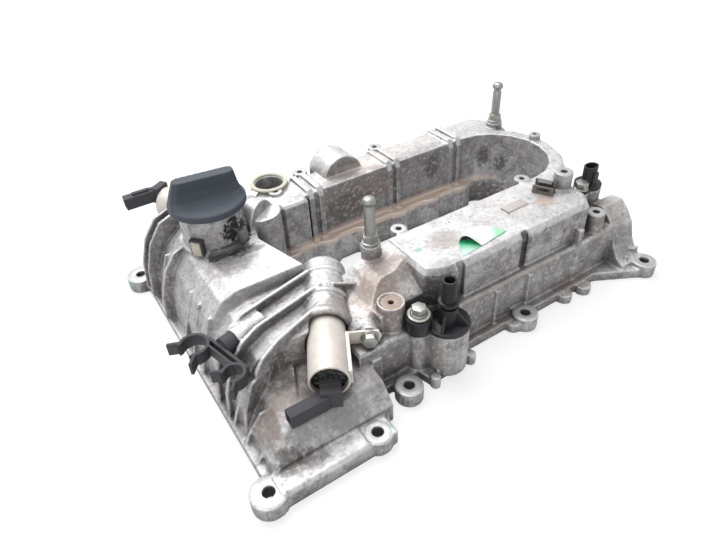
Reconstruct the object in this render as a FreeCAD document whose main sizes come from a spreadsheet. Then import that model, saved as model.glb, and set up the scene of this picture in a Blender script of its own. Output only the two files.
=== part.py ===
import FreeCAD, Part
import math
import os
import Sketcher

# Engine valve cover: one aluminium casting with its filler cap, two control valves, breather fitting,
# cam sensor, pipe clip, studs, seals, baffles and screws. Millimetres; X runs from the front edge of
# the flange to the rear, Y to the left side and Z up from the gasket face, with Y = 0 halfway between
# the front corner bolts.

SIZES = (
    ("wall", 5, "wall of the casting"),
    ("flange_thick", 9, "flange between its bolt bosses"),
    ("boss_top", 13, "machined top of the flange bolt bosses"),
    ("bolt_hole_radius", 4.4, "flange bolt holes"),
    ("corner_boss_radius", 13, "cast bosses of the front corner bolts"),
    ("bolt_boss_radius", 11, "cast bosses of the other flange bolts"),
    ("front_foot", 8, "foot of the front wall behind the flange edge"),
    ("front_half_width", 130, "outside of the front housing at the flange"),
    ("front_flange_reach", 18, "flange beside the front housing, outside its wall"),
    ("front_rear", 104, "rear end of the front housing"),
    ("cover_length", 398, "rear wall of the casting"),
    ("flange_front", 1.5, "front edge of the flange behind the front bolts"),
    ("rear_flange", 8, "flange behind the rear wall"),
    ("right_skirt", 101, "right wall below the step"),
    ("right_ridge_inset", 7, "right wall above the step, inside the wall below it"),
    ("side_flange", 8, "flange outside the long side walls"),
    ("left_skirt", 107, "left wall below the step"),
    ("left_ridge_inset", 5, "left wall above the step, inside the wall below it"),
    ("step_height", 46, "height of the step along the side walls"),
    ("ridge_top", 80, "top of the two long ridges"),
    ("front_block_drop", 7, "top of the front stud block below the ridges"),
    ("right_ridge_start", 165, "front of the full height of the right ridge"),
    ("sensor_bay", 50, "lower deck between the right ridge and the rear wall"),
    ("front_block_start", 118, "front of the block that carries the front stud"),
    ("left_rear_step", 10, "rear of the left ridge in front of the rear wall"),
    ("edge_bevel", 4, "bevel along the tops of the ridges"),
    ("window_right", 34, "right edge of the window"),
    ("window_left", 66, "left edge of the window"),
    ("window_front", 100, "front edge of the window"),
    ("window_rear_gap", 16, "rear end of the window in front of the rear wall"),
    ("rear_wall", 15, "curved wall behind the window"),
    ("ledge_height", 30, "ledge along the foot of the left inner wall"),
    ("ledge_reach", 8, "ledge inside the window"),
    ("rear_post_inset", 9.5, "tall boss in front of the right ridge's rear end"),
    ("rear_post_y", -60, "tall boss on the right ridge"),
    ("rear_post_rise", 15, "tall boss above the right ridge"),
    ("plateau_top", 76, "flat round the filler neck"),
    ("right_dome_top", 66, "right front housing between its ribs"),
    ("left_dome_top", 82, "left front housing"),
    ("valve_shelf", 42, "casting beside the right valve"),
    ("side_step", 14, "thick edge of the flange beside the front housing"),
    ("plateau_left", 36, "left edge of the flat in front of the neck"),
    ("fin_rise", 8, "height of the long ribs over the right housing"),
    ("fin_thick", 3, "thickness of the ribs"),
    ("fin_yaw", 14, "turn of the right ribs from the X axis"),
    ("band_gap", 10, "spacing of the two bands of a pair"),
    ("band_width", 5.5, "width of one band"),
    ("band_rise", 3, "height of a band over the ridge"),
    ("band_front", 150, "front pair of bands"),
    ("band_middle", 237, "middle pair of bands"),
    ("band_rear", 314, "rear pair of bands"),
    ("groove_front", 191, "front groove in the right wall"),
    ("groove_rear", 258, "rear groove in the right wall"),
    ("groove_width", 7, "grooves in the right wall"),
    ("groove_depth", 4.5, "grooves in the right wall"),
    ("pump_x", 197, "round dome in the left wall"),
    ("cylinder_pitch", 41, "spacing of the scallops along the window"),
    ("window_boss_front", 183, "front boss beside the window"),
    ("window_boss_rear", 320, "rear boss beside the window"),
    ("left_boss_front", 163, "front boss on the left ridge"),
    ("left_boss_rear", 249, "rear boss on the left ridge"),
    ("harness_x", 319, "harness clip"),
    ("harness_y", 23, "harness clip outside the window"),
    ("front_bolt_reach", 8, "front corner bolts outside the front housing"),
    ("second_bolt_x", 83, "second pair of flange bolts"),
    ("second_bolt_reach", 10, "second pair of flange bolts outside the front housing"),
    ("third_bolt_x", 126, "third pair of flange bolts"),
    ("third_bolt_reach", 18, "third pair of flange bolts outside the side walls"),
    ("fourth_bolt_x", 253, "fourth pair of flange bolts"),
    ("fourth_bolt_reach", 11, "fourth pair of flange bolts outside the side walls"),
    ("rear_bolt_inset", 6, "rear ear bolts in front of the rear wall"),
    ("rear_bolt_reach", 21, "rear ear bolts outside the side walls, on average"),
    ("gasket_width", 2.5, "width of the gasket bead"),
    ("gasket_depth", 2.5, "depth of the gasket groove"),
    ("fit_gap", 0.1, "clearance of a piece that is seated in another"),
    ("neck_x", 58, "filler neck axis"),
    ("neck_y", 61, "filler neck axis"),
    ("neck_rise", 30, "filler neck above the flat round it"),
    ("neck_radius", 25.5, "outside of the filler neck"),
    ("neck_bore", 17.8, "bore of the filler neck"),
    ("lug_chamber", 21, "space for the lugs below the bayonet ring"),
    ("neck_mouth", 17.6, "opening in the bayonet ring of the neck"),
    ("mouth_thick", 8, "thickness of the bayonet ring"),
    ("lug_width", 8, "width of the bayonet lugs of the cap"),
    ("lug_reach", 20, "reach of the lugs from the cap axis"),
    ("lug_thick", 3, "thickness of the lugs"),
    ("seal_thick", 2, "filler cap seal"),
    ("cap_radius", 31.5, "disc of the filler cap"),
    ("cap_thick", 6, "thickness of the disc of the filler cap"),
    ("plug_radius", 17, "plug of the cap inside the neck"),
    ("grip_height", 19.5, "grip above the top of the disc"),
    ("grip_thick", 11, "grip at its crest"),
    ("grip_yaw", -8, "turn of the grip from the X axis"),
    ("clip_tab_width", 8, "tab on the filler neck"),
    ("clip_tab_thick", 4.5, "tab on the filler neck"),
    ("clip_tab_height", 12, "tab on the filler neck"),
    ("valve_yaw", 28, "turn of the control valves away from straight sideways"),
    ("valve_bore", 10, "bore for a control valve"),
    ("valve_depth", 62, "depth of the right valve bore from the rim"),
    ("left_depth", 46, "depth of the left valve bore from the rim"),
    ("valve_boss", 20, "outside of a valve housing"),
    ("rim_recess", 4, "depth of the recess that the can stands in"),
    ("can_radius", 14.5, "solenoid can"),
    ("can_wall", 1.5, "wall of the solenoid can"),
    ("can_length", 50, "open end of the solenoid can from the rim"),
    ("right_valve_x", 87, "rim of the right valve housing"),
    ("right_rim_inset", 61, "rim of the right valve housing inside the front housing's wall"),
    ("right_valve_z", 52, "axis of the right valve"),
    ("left_valve_yaw", 35, "turn of the left control valve away from straight sideways"),
    ("left_valve_x", 70.7, "rim of the left valve housing"),
    ("left_rim_inset", 31, "rim of the left valve housing inside the front housing's wall"),
    ("left_valve_z", 76, "axis of the left valve"),
    ("left_sleeve", 24, "how far the left housing reaches over its can"),
    ("ear_reach", 31, "bolt of the solenoid bracket from the valve axis"),
    ("ear_seat", 9, "seat of the bracket from the rim"),
    ("bracket_thick", 2, "sheet of the solenoid bracket"),
    ("connector_arm", 29, "length of the solenoid connector"),
    ("connector_size", 11, "height of the solenoid connector"),
    ("small_bolt_radius", 2.9, "shank of the small flange bolts"),
    ("small_hole_radius", 3, "threaded holes for the small flange bolts"),
    ("hex_size", 10, "hexagon of the small flange bolts"),
    ("stud_boss_radius", 8, "cast boss under a cover stud"),
    ("stud_boss_rise", 5, "bosses under the cover studs above the ridges"),
    ("stud_length", 34, "plain length of a cover stud"),
    ("stud_radius", 4.3, "shaft of a cover stud"),
    ("stud_head", 5.5, "round head of a cover stud"),
    ("stud_thread", 3.9, "lower thread of a cover stud"),
    ("front_stud_x", 150, "front cover stud"),
    ("front_stud_y", -36, "front cover stud"),
    ("rear_stud_inset", 19, "rear cover stud in front of the rear wall"),
    ("rear_stud_offset", 3, "rear cover stud beside the window"),
    ("port_x", 129, "round port in the left ridge"),
    ("port_rise", 3, "round port above the ridge"),
    ("port_radius", 17, "outside of the round port"),
    ("port_bore", 13, "bore of the round port"),
    ("breather_x", 168, "breather housing"),
    ("breather_reach", 9, "breather housing outside the right wall"),
    ("breather_radius", 17, "outside of the breather housing"),
    ("breather_bore", 13, "bore of the breather housing"),
    ("hose_radius", 5.6, "hose tube of the breather fitting"),
    ("hose_length", 42, "hose tube of the breather fitting"),
    ("eye_x", -21, "fixing eye from the breather axis"),
    ("eye_y", 8, "fixing eye from the breather axis"),
    ("eye_radius", 10, "outside of the fixing eye"),
    ("sensor_inset", 28, "cam sensor in front of the rear wall"),
    ("sensor_y", -64, "cam sensor"),
    ("sensor_drop", 8, "seat of the cam sensor below the ridges"),
    ("sensor_pillar", 16, "seat of the cam sensor above the deck round it"),
    ("sensor_bore", 9, "bore for the cam sensor"),
    ("sensor_bolt_x", -14, "cam sensor bolt from the sensor axis"),
    ("sensor_bolt_y", -4, "cam sensor bolt from the sensor axis"),
    ("clip_x", 15.7, "back of the pipe clip"),
    ("clip_y", -56, "back of the pipe clip"),
    ("clip_z", 60, "middle of the pipe clip"),
    ("clip_depth", 10, "height of the pipe clip"),
    ("clip_yaw", 104, "direction of the pipe clip's row"),
    ("large_pipe", 9, "inside of the large pipe clip"),
    ("small_pipe", 6.5, "inside of the small pipe clip"),
    ("clip_wall", 2.2, "wall of the pipe clips"),
    ("pipe_pitch", 42, "spacing of the two pipes"),
    ("plug_boss_radius", 9, "boss behind the pipe clip"),
    ("baffle_thick", 1.5, "sheet of the oil baffles"),
    ("baffle_drop", 11, "oil baffles below the roof of their ridge"),
    ("baffle_pitch", 49, "spacing of the baffle screws"),
    ("baffle_start", 185, "first baffle screw"),
    ("baffle_post", 5, "posts that carry the baffles"),
    ("screw_radius", 2.4, "shank of a baffle screw"),
    ("right_post_inset", 30, "row of posts inside the right ridge's wall"),
    ("left_post_inset", 18, "row of posts inside the left ridge's wall"),
    ("sheet_reach_right", 17, "half of the right baffle's width"),
    ("sheet_reach_left", 9, "half of the left baffle's width"),
)


class Size:
    """A length or an angle, held as a number and as the formula that gives it in the sheet."""

    def __init__(self, number, formula):
        self.number = number
        self.formula = formula

    def __add__(self, other):
        other = as_size(other)
        return Size(self.number + other.number, f"({self.formula} + {other.formula})")

    def __sub__(self, other):
        other = as_size(other)
        return Size(self.number - other.number, f"({self.formula} - {other.formula})")

    def __mul__(self, factor):
        factor = as_size(factor)
        return Size(self.number * factor.number, f"({self.formula} * {factor.formula})")

    def __truediv__(self, factor):
        factor = as_size(factor)
        return Size(self.number / factor.number, f"({self.formula} / {factor.formula})")

    def __neg__(self):
        return Size(-self.number, f"(0 - {self.formula})")

    def __radd__(self, other):
        return as_size(other) + self

    def __rsub__(self, other):
        return as_size(other) - self

    def __rmul__(self, other):
        return as_size(other) * self


def as_size(value):
    if isinstance(value, Size):
        return value
    return Size(float(value), f"({float(value):.6f})")


class Sheet:
    """The spreadsheet of driving sizes, read as attributes."""

    def __init__(self, document, sizes):
        page = document.addObject("Spreadsheet::Sheet", "Dims")
        self.numbers = {}
        for row, (name, number, meaning) in enumerate(sizes, start=1):
            page.set(f"A{row}", meaning)
            page.set(f"B{row}", str(number))
            page.setAlias(f"B{row}", name)
            self.numbers[name] = number
        document.recompute()

    def __getattr__(self, name):
        if name not in self.numbers:
            raise AttributeError(name)
        return Size(self.numbers[name], "Dims." + name)


doc = FreeCAD.newDocument("valve_cover")
d = Sheet(doc, SIZES)
PARTS = []

# Places that follow other sizes.
d.front_flange_half = d.front_half_width + d.front_flange_reach
d.front_bolt_y = d.front_half_width + d.front_bolt_reach
d.second_bolt_y = d.front_half_width + d.second_bolt_reach
d.right_ridge = d.right_skirt - d.right_ridge_inset
d.left_ridge = d.left_skirt - d.left_ridge_inset
d.right_flange = d.right_skirt + d.side_flange
d.left_flange = d.left_skirt + d.side_flange
d.flange_length = d.cover_length + d.rear_flange
d.third_bolt_right = d.right_skirt + d.third_bolt_reach
d.third_bolt_left = d.left_skirt + d.third_bolt_reach
d.fourth_bolt_right = d.right_skirt + d.fourth_bolt_reach
d.fourth_bolt_left = d.left_skirt + d.fourth_bolt_reach
d.rear_bolt_x = d.cover_length - d.rear_bolt_inset
d.rear_bolt_y = (d.right_skirt + d.left_skirt) / 2 + d.rear_bolt_reach
d.window_rear = d.cover_length - d.window_rear_gap
d.right_ridge_end = d.cover_length - d.sensor_bay
d.left_ridge_end = d.cover_length - d.left_rear_step
d.right_front_top = d.ridge_top - d.front_block_drop
d.neck_top = d.plateau_top + d.neck_rise
d.right_valve_y = -d.front_half_width + d.right_rim_inset
d.left_valve_y = d.front_half_width - d.left_rim_inset
d.stud_boss_top = d.ridge_top + d.stud_boss_rise
d.rear_stud_x = d.cover_length - d.rear_stud_inset
d.rear_stud_y = d.window_left + d.rear_stud_offset
d.port_y = d.left_ridge
d.port_top = d.ridge_top + d.port_rise
d.breather_y = -d.right_skirt - d.breather_reach
d.breather_seat = d.step_height
d.sensor_x = d.cover_length - d.sensor_inset
d.sensor_seat = d.ridge_top - d.sensor_drop
d.right_post_y = -d.right_ridge + d.right_post_inset
d.left_post_y = d.left_ridge - d.left_post_inset


class Frame:
    """A place and a turn, as a formula, so that pieces can be placed inside one another's frames."""

    def __init__(self, x=0, y=0, z=0, yaw=0, pitch=0, roll=0, parent=None):
        place = [as_size(value).formula for value in (x, y, z)]
        turn = [as_size(value).formula for value in (yaw, pitch, roll)]
        vector = "create(<<vector>>; " + "; ".join(place) + ")"
        rotation = "create(<<rotation>>; " + "; ".join(turn) + ")"
        self.formula = f"create(<<placement>>; {vector}; {rotation})"
        if parent is not None:
            self.formula = parent.formula + " * " + self.formula

    def at(self, x=0, y=0, z=0, yaw=0, pitch=0, roll=0):
        return Frame(x, y, z, yaw, pitch, roll, parent=self)


HOME = Frame()


def bind(feature, name, size):
    feature.setExpression(name, as_size(size).formula)


def place(feature, frame):
    feature.setExpression("Placement", frame.formula)


def draw(sketch, points):
    """Closed outline whose corners are all held by sizes."""
    corners = [(as_size(x), as_size(y)) for x, y in points]
    vectors = [FreeCAD.Vector(x.number, y.number, 0) for x, y in corners]
    count = len(vectors)
    lines = [Part.LineSegment(vectors[i], vectors[(i + 1) % count]) for i in range(count)]
    sketch.addGeometry(lines, False)
    joins = [Sketcher.Constraint("Coincident", i, 2, (i + 1) % count, 1) for i in range(count)]
    sketch.addConstraint(joins)
    for i, (x, y) in enumerate(corners):
        for kind, size in (("DistanceX", x), ("DistanceY", y)):
            held = sketch.addConstraint(Sketcher.Constraint(kind, -1, 1, i, 1, size.number))
            sketch.setExpression(f"Constraints[{held}]", size.formula)


def draw_circle(sketch, x, y, radius):
    x, y, radius = as_size(x), as_size(y), as_size(radius)
    centre = FreeCAD.Vector(x.number, y.number, 0)
    circle = sketch.addGeometry(Part.Circle(centre, FreeCAD.Vector(0, 0, 1), radius.number), False)
    for kind, size in (("DistanceX", x), ("DistanceY", y)):
        held = sketch.addConstraint(Sketcher.Constraint(kind, -1, 1, circle, 3, size.number))
        sketch.setExpression(f"Constraints[{held}]", size.formula)
    held = sketch.addConstraint(Sketcher.Constraint("Radius", circle, radius.number))
    sketch.setExpression(f"Constraints[{held}]", radius.formula)


# Solids of the Part workbench.

def box(name, x, y, z, frame=HOME):
    """Box between two values along each axis."""
    solid = doc.addObject("Part::Box", name)
    for prop, (low, high) in (("Length", x), ("Width", y), ("Height", z)):
        bind(solid, prop, as_size(high) - low)
    place(solid, frame.at(x[0], y[0], z[0]))
    return solid


def rod(name, radius, low, high, x=0, y=0, frame=HOME):
    """Cylinder along the frame's Z from low to high."""
    solid = doc.addObject("Part::Cylinder", name)
    bind(solid, "Radius", radius)
    bind(solid, "Height", as_size(high) - low)
    place(solid, frame.at(x, y, low))
    return solid


def plan(name, points, low, high, frame=HOME):
    """Outline in X and Y, raised from low to high."""
    sketch = doc.addObject("Sketcher::SketchObject", name + "_outline")
    draw(sketch, points)
    place(sketch, frame.at(0, 0, low))
    return raise_outline(name, sketch, as_size(high) - low)


def side(name, points, low, high, frame=HOME):
    """Outline in X and Z, spread in Y from low to high."""
    sketch = doc.addObject("Sketcher::SketchObject", name + "_outline")
    draw(sketch, points)
    place(sketch, frame.at(0, high, 0, roll=90))
    return raise_outline(name, sketch, as_size(high) - low)


def end_on(name, points, low, high, frame=HOME):
    """Outline in Y and Z, spread in X from low to high."""
    sketch = doc.addObject("Sketcher::SketchObject", name + "_outline")
    draw(sketch, points)
    place(sketch, frame.at(low, 0, 0, yaw=90, roll=90))
    return raise_outline(name, sketch, as_size(high) - low)


def raise_outline(name, sketch, length):
    solid = doc.addObject("Part::Extrusion", name)
    solid.Base = sketch
    solid.DirMode = "Normal"
    solid.Solid = True
    bind(solid, "LengthFwd", length)
    return solid


def fuse(name, *pieces, refine=True):
    solid = doc.addObject("Part::MultiFuse", name)
    solid.Shapes = list(pieces)
    solid.Refine = refine
    return solid


def cut(name, base, *tools, refine=True):
    tool = tools[0] if len(tools) == 1 else fuse(name + "_tools", *tools)
    solid = doc.addObject("Part::Cut", name)
    solid.Base = base
    solid.Tool = tool
    solid.Refine = refine
    return solid


def common(name, base, tool):
    solid = doc.addObject("Part::Common", name)
    solid.Base = base
    solid.Tool = tool
    return solid


def bevel_top(name, base, height, size):
    """Bevel along the top edges of an upright block."""
    doc.recompute()
    level = as_size(height).number
    edges = [i for i, edge in enumerate(base.Shape.Edges, start=1)
             if abs(edge.BoundBox.ZMin - level) < 1e-6 and abs(edge.BoundBox.ZMax - level) < 1e-6]
    solid = doc.addObject("Part::Chamfer", name)
    solid.Base = base
    width = as_size(size).number
    solid.Edges = [(i, width, width) for i in edges]
    return solid


# Bodies of the PartDesign workbench.

def new_body(label, frame):
    body = doc.addObject("PartDesign::Body", label)
    place(body, frame)
    return body


def sketch_in(body, name, role, height=0):
    sketch = body.newObject("Sketcher::SketchObject", name)
    plane = next(plane for plane in body.Origin.OriginFeatures if plane.Role == role)
    sketch.AttachmentSupport = [(plane, "")]
    sketch.MapMode = "FlatFace"
    bind(sketch, "AttachmentOffset.Base.z", height)
    return sketch


def turned(label, points, frame):
    """Body turned about its Z axis from an outline of radius and height."""
    body = new_body(label, frame)
    sketch = sketch_in(body, label + "_section", "XZ_Plane")
    draw(sketch, points)
    solid = body.newObject("PartDesign::Revolution", label + "_turned")
    solid.Profile = sketch
    solid.ReferenceAxis = (sketch, ["V_Axis"])
    solid.Angle = 360
    return body


def pad(body, name, points, low, high):
    sketch = sketch_in(body, name + "_outline", "XY_Plane", low)
    draw(sketch, points)
    solid = body.newObject("PartDesign::Pad", name)
    solid.Profile = sketch
    bind(solid, "Length", as_size(high) - low)
    return solid


def pad_round(body, name, radius, low, high, x=0, y=0):
    sketch = sketch_in(body, name + "_outline", "XY_Plane", low)
    draw_circle(sketch, x, y, radius)
    solid = body.newObject("PartDesign::Pad", name)
    solid.Profile = sketch
    bind(solid, "Length", as_size(high) - low)
    return solid


def pocket(body, name, points, low, high):
    sketch = sketch_in(body, name + "_outline", "XY_Plane", high)
    draw(sketch, points)
    return sink(body, name, sketch, as_size(high) - low)


def bore(body, name, radius, low, high, x=0, y=0):
    sketch = sketch_in(body, name + "_outline", "XY_Plane", high)
    draw_circle(sketch, x, y, radius)
    return sink(body, name, sketch, as_size(high) - low)


def sink(body, name, sketch, depth):
    hollow = body.newObject("PartDesign::Pocket", name)
    hollow.Profile = sketch
    bind(hollow, "Length", depth)
    return hollow


def rectangle(x, y):
    return [(x[0], y[0]), (x[1], y[0]), (x[1], y[1]), (x[0], y[1])]


def hexagon(across_flats):
    corner = as_size(across_flats) / math.sqrt(3)
    angles = [math.radians(60 * k) for k in range(6)]
    return [(corner * math.cos(a), corner * math.sin(a)) for a in angles]


def ellipse_points(x, y, reach_x, reach_y, angles):
    return [(x + reach_x * math.cos(math.radians(a)), y + reach_y * math.sin(math.radians(a)))
            for a in angles]


def flange_bolt(label, frame, length, hexagon_size, washer_radius):
    """Small bolt with a washer face and a hexagon; its seat is at Z = 0."""
    face, head = 1.5, 6.5
    body = turned(label, [(0, -length), (d.small_bolt_radius - 0.6, -length),
                          (d.small_bolt_radius, 0.6 - length), (d.small_bolt_radius, 0),
                          (washer_radius, 0), (washer_radius, face * 0.5), (washer_radius - 1, face),
                          (0, face)], frame)
    pad(body, label + "_hexagon", hexagon(hexagon_size), face, head)
    return body


def ring(label, frame, middle_radius, section_radius, height=0):
    """Sealing ring with a round section."""
    solid = doc.addObject("Part::Torus", label)
    bind(solid, "Radius1", middle_radius)
    bind(solid, "Radius2", section_radius)
    place(solid, frame.at(0, 0, height))
    return solid


# Frames of the two control valves: Z points out of the casting along the valve, Y is up on the right
# valve and down on the left one.

RIGHT_VALVE = Frame(d.right_valve_x, d.right_valve_y, d.right_valve_z, yaw=-d.valve_yaw, roll=90)
LEFT_VALVE = Frame(d.left_valve_x, d.left_valve_y, d.left_valve_z, yaw=d.left_valve_yaw, roll=-90)
NECK = Frame(d.neck_x, d.neck_y, d.neck_top)
BREATHER = Frame(d.breather_x, d.breather_y, d.breather_seat)
EYE = BREATHER.at(d.eye_x, d.eye_y)
SENSOR = Frame(d.sensor_x, d.sensor_y, d.sensor_seat)
SENSOR_BOLT = SENSOR.at(d.sensor_bolt_x, d.sensor_bolt_y)
FRONT_STUD = Frame(d.front_stud_x, d.front_stud_y, d.stud_boss_top)
REAR_STUD = Frame(d.rear_stud_x, d.rear_stud_y, d.stud_boss_top)
PIPE_CLIP = Frame(d.clip_x, d.clip_y, d.clip_z, yaw=d.clip_yaw)
CLIP_BOSS = PIPE_CLIP.at(5, -10, 2, roll=90)
PORT = Frame(d.port_x, d.port_y, d.port_top)


# Casting.

NOSE_ANGLES = (0, 22.5, 45, 67.5, 90)


def housing_section(name, y, top, setback, inset):
    """Upright slice of the front housing: a quarter-ellipse nose, a level top and a flat rear."""
    front = d.front_foot + inset
    foot = d.flange_thick - inset * 0.2
    base = as_size(0) if inset == 0 else as_size(-1)
    crown = as_size(top) - inset
    rear = d.front_rear if inset == 0 else d.window_front - d.wall * 3.6
    setback = as_size(setback)
    points = [(front, base)]
    for angle in NOSE_ANGLES:
        turn = math.radians(angle)
        points.append((front + setback * (1 - math.cos(turn)), foot + (crown - foot) * math.sin(turn)))
    points += [(rear, crown), (rear, base)]
    sketch = doc.addObject("Sketcher::SketchObject", name)
    draw(sketch, points)
    place(sketch, HOME.at(0, y, 0, roll=90))
    return sketch


def front_housing(name, inset):
    """Front housing through its slices from right to left; inset gives the hollow inside it."""
    side_inset = as_size(inset)
    under_can = 8 if inset else 0
    behind_can = 10 if inset else 0
    slices = (
        (-d.front_half_width + side_inset, 17, 9),
        (-d.front_half_width + 13 + side_inset, 31 - under_can / 2, 26),
        (-d.front_half_width + 30 + side_inset, d.valve_shelf - 7 - under_can, 30),
        (-d.front_half_width + 50 + side_inset + behind_can, d.valve_shelf - under_can, 32),
        (-d.front_half_width + 57 + side_inset + behind_can, d.right_dome_top - 3 - under_can, 36),
        (-d.window_right + 14 + side_inset, d.right_dome_top, 40),
        (-d.window_right + 18 + side_inset, d.plateau_top, 34),
        (d.plateau_left - 4, d.plateau_top, 34),
        (d.neck_y + 22, d.plateau_top + 2, 40),
        (d.neck_y + 30 - side_inset, d.left_dome_top, 56),
        (d.front_half_width - 32 - side_inset, d.left_dome_top, 58),
        (d.front_half_width - 10 - side_inset, d.left_dome_top - 22, 48),
        (d.front_half_width - side_inset, 26, 20),
    )
    sections = [housing_section(f"{name}_slice_{i}", y, top, setback, inset)
                for i, (y, top, setback) in enumerate(slices)]
    solid = doc.addObject("Part::Loft", name)
    solid.Sections = sections
    solid.Solid = True
    solid.Ruled = True
    return solid


def window_outline(grow):
    """Opening between the ridges: straight sides, a round rear end and a slanted front."""
    middle = (d.window_left - d.window_right) / 2
    half = (d.window_left + d.window_right) / 2 + grow
    centre = d.window_rear - 49
    rear = ellipse_points(centre, middle, 49 + as_size(grow), half, range(-90, 91, 20))
    front = d.window_front - grow
    return rear + [(front - 6, d.window_left + grow), (front - 14, d.plateau_left),
                   (front - 2, -d.window_right + 22), (front + 4, -d.window_right - grow)]


def flange_outline():
    """Edge of the flange, round from the right front corner."""
    wide = d.front_flange_half
    rear = d.flange_length
    front = d.flange_front
    right = [(front, -wide + 14), (6, -wide), (d.second_bolt_x + 1, -wide), (d.second_bolt_x + 14, -wide + 12),
             (d.front_rear, -wide + 30), (d.front_rear + 8, -d.right_flange)]
    back = [(rear - 8, -d.right_flange), (rear, -d.right_flange + 9), (rear, d.left_flange - 10),
            (rear - 8, d.left_flange)]
    left = [(d.front_rear + 8, d.left_flange), (d.front_rear, wide - 24), (d.second_bolt_x + 14, wide - 12),
            (d.second_bolt_x + 1, wide), (6, wide), (front, wide - 14)]
    return right + back + left


def skirt_outline(inset):
    """Foot of the walls on the gasket face, moved inwards by inset."""
    front = d.front_foot + inset
    step = d.front_rear - inset
    rear = d.cover_length - inset
    wide = d.front_half_width - inset
    return [(front, -wide), (step, -wide), (step, -d.right_skirt + inset), (rear, -d.right_skirt + inset),
            (rear, d.left_skirt - inset), (step, d.left_skirt - inset), (step, wide), (front, wide)]


def flange_bolts():
    """Centres of the flange bolt holes, front to rear on both sides."""
    return (
        (as_size(0), -d.front_bolt_y), (as_size(0), d.front_bolt_y),
        (d.second_bolt_x, -d.second_bolt_y), (d.second_bolt_x, d.second_bolt_y),
        (d.third_bolt_x, -d.third_bolt_right), (d.third_bolt_x, d.third_bolt_left),
        (d.fourth_bolt_x, -d.fourth_bolt_right), (d.fourth_bolt_x, d.fourth_bolt_left),
        (d.rear_bolt_x, -d.rear_bolt_y), (d.rear_bolt_x, d.rear_bolt_y),
    )


def outer_masses():
    """Filled outer form of the casting."""
    start, end = d.right_ridge_start, d.right_ridge_end
    inner = -d.window_right + 4
    right = plan("right_ridge_block", [(start, inner), (end - 7, inner), (end, inner - 14),
                                       (end, -d.right_ridge + 14), (end - 12, -d.right_ridge),
                                       (start + 25, -d.right_ridge), (start + 10, -d.right_ridge + 3),
                                       (start, -d.right_ridge + 10)], 0, d.ridge_top)
    block = d.front_block_start
    sloping = side("front_block_slope", [(block - 20, 0), (block - 20, d.right_front_top - 21),
                                         (block - 10, d.right_front_top - 15), (block + 3, d.right_front_top - 11),
                                         (block + 15, d.right_front_top - 3), (block + 22, d.right_front_top),
                                         (start - 12, d.right_front_top + 0.5), (start + 6, d.ridge_top - 0.5),
                                         (start + 6, 0)], -d.right_ridge + 10, inner + 5)
    falling = end_on("front_block_side", [(-d.right_ridge + 10, 0), (-d.right_ridge + 10, d.right_front_top - 14),
                                          (-d.right_ridge + 24, d.right_front_top - 5),
                                          (-d.right_ridge + 38, d.ridge_top), (inner + 5, d.ridge_top),
                                          (inner + 5, 0)], block - 21, start + 7)
    right_front = common("right_front_block", sloping, falling)
    left = plan("left_ridge_block", [(d.front_rear - 9, d.window_left - 6), (d.left_ridge_end, d.window_left - 6),
                                     (d.left_ridge_end, d.left_ridge - 20), (d.left_ridge_end - 16, d.left_ridge),
                                     (d.front_rear - 9, d.left_ridge)], 0, d.ridge_top)
    middle = (d.window_left - d.window_right) / 2
    half = (d.window_left + d.window_right) / 2
    rear = plan("rear_wall_block",
                ellipse_points(d.window_rear - 49, middle, 49 + d.rear_wall, half + d.rear_wall, range(-90, 91, 20)),
                0, d.ridge_top)
    shelf = plan("sensor_shelf", rectangle((end - 8, d.sensor_x + 15), (d.sensor_y - 15, -d.window_right - 6)),
                 0, d.sensor_seat - d.sensor_pillar)
    skirt = plan("skirt_block", [(d.front_rear - 9, -d.right_skirt), (d.cover_length - 8, -d.right_skirt),
                                 (d.cover_length, -d.right_skirt + 10), (d.cover_length, d.left_skirt - 10),
                                 (d.cover_length - 8, d.left_skirt), (d.front_rear - 9, d.left_skirt)],
                 0, d.step_height)
    flange = plan("flange_plate", flange_outline(), 0, d.flange_thick)
    steps = []
    for label, sign in (("right", -1), ("left", 1)):
        edge = plan(f"flange_step_{label}", rectangle((4, d.second_bolt_x - 8),
                                                      ((d.front_half_width - 4) * sign, d.front_flange_half * sign)),
                    0, d.side_step)
        steps.append(bevel_top(f"flange_step_bevel_{label}", edge, d.side_step, 2.5))
    return [front_housing("front_housing", 0),
            bevel_top("right_ridge_bevel", right, d.ridge_top, d.edge_bevel),
            right_front,
            bevel_top("left_ridge_bevel", left, d.ridge_top, d.edge_bevel),
            bevel_top("rear_wall_bevel", rear, d.ridge_top, d.edge_bevel),
            bevel_top("sensor_shelf_bevel", shelf, d.sensor_seat - d.sensor_pillar, d.edge_bevel * 0.5),
            bevel_top("skirt_bevel", skirt, d.step_height, d.edge_bevel * 0.5),
            flange] + steps


def fin(name, y, yaw, top, setback):
    """Long rib over the front housing, from its nose up to the valve housing."""
    length = d.front_rear - d.front_foot + 4
    foot = d.flange_thick - 1
    points = [(0, top - 24), (0, top)]
    for angle in reversed(NOSE_ANGLES):
        turn = math.radians(angle)
        points.append((-length + as_size(setback) * (1 - math.cos(turn)), foot + (top - foot) * math.sin(turn)))
    points.append((-length + 8, foot))
    pivot = HOME.at(d.front_rear - 4, y, 0, yaw=yaw)
    return side(name, points, -d.fin_thick / 2, d.fin_thick / 2, pivot)


def gusset(name, y, rise):
    """Small upright rib between the front edge of the flange and the front wall."""
    foot = d.flange_thick - 1
    points = [(d.flange_front + 1, foot), (d.front_foot + 8, foot), (d.front_foot + 16, foot + rise),
              (d.front_foot + 10, foot + rise), (d.front_foot - 1, foot + rise * 0.4)]
    return side(name, points, y - 1.3, y + 1.3)


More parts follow.
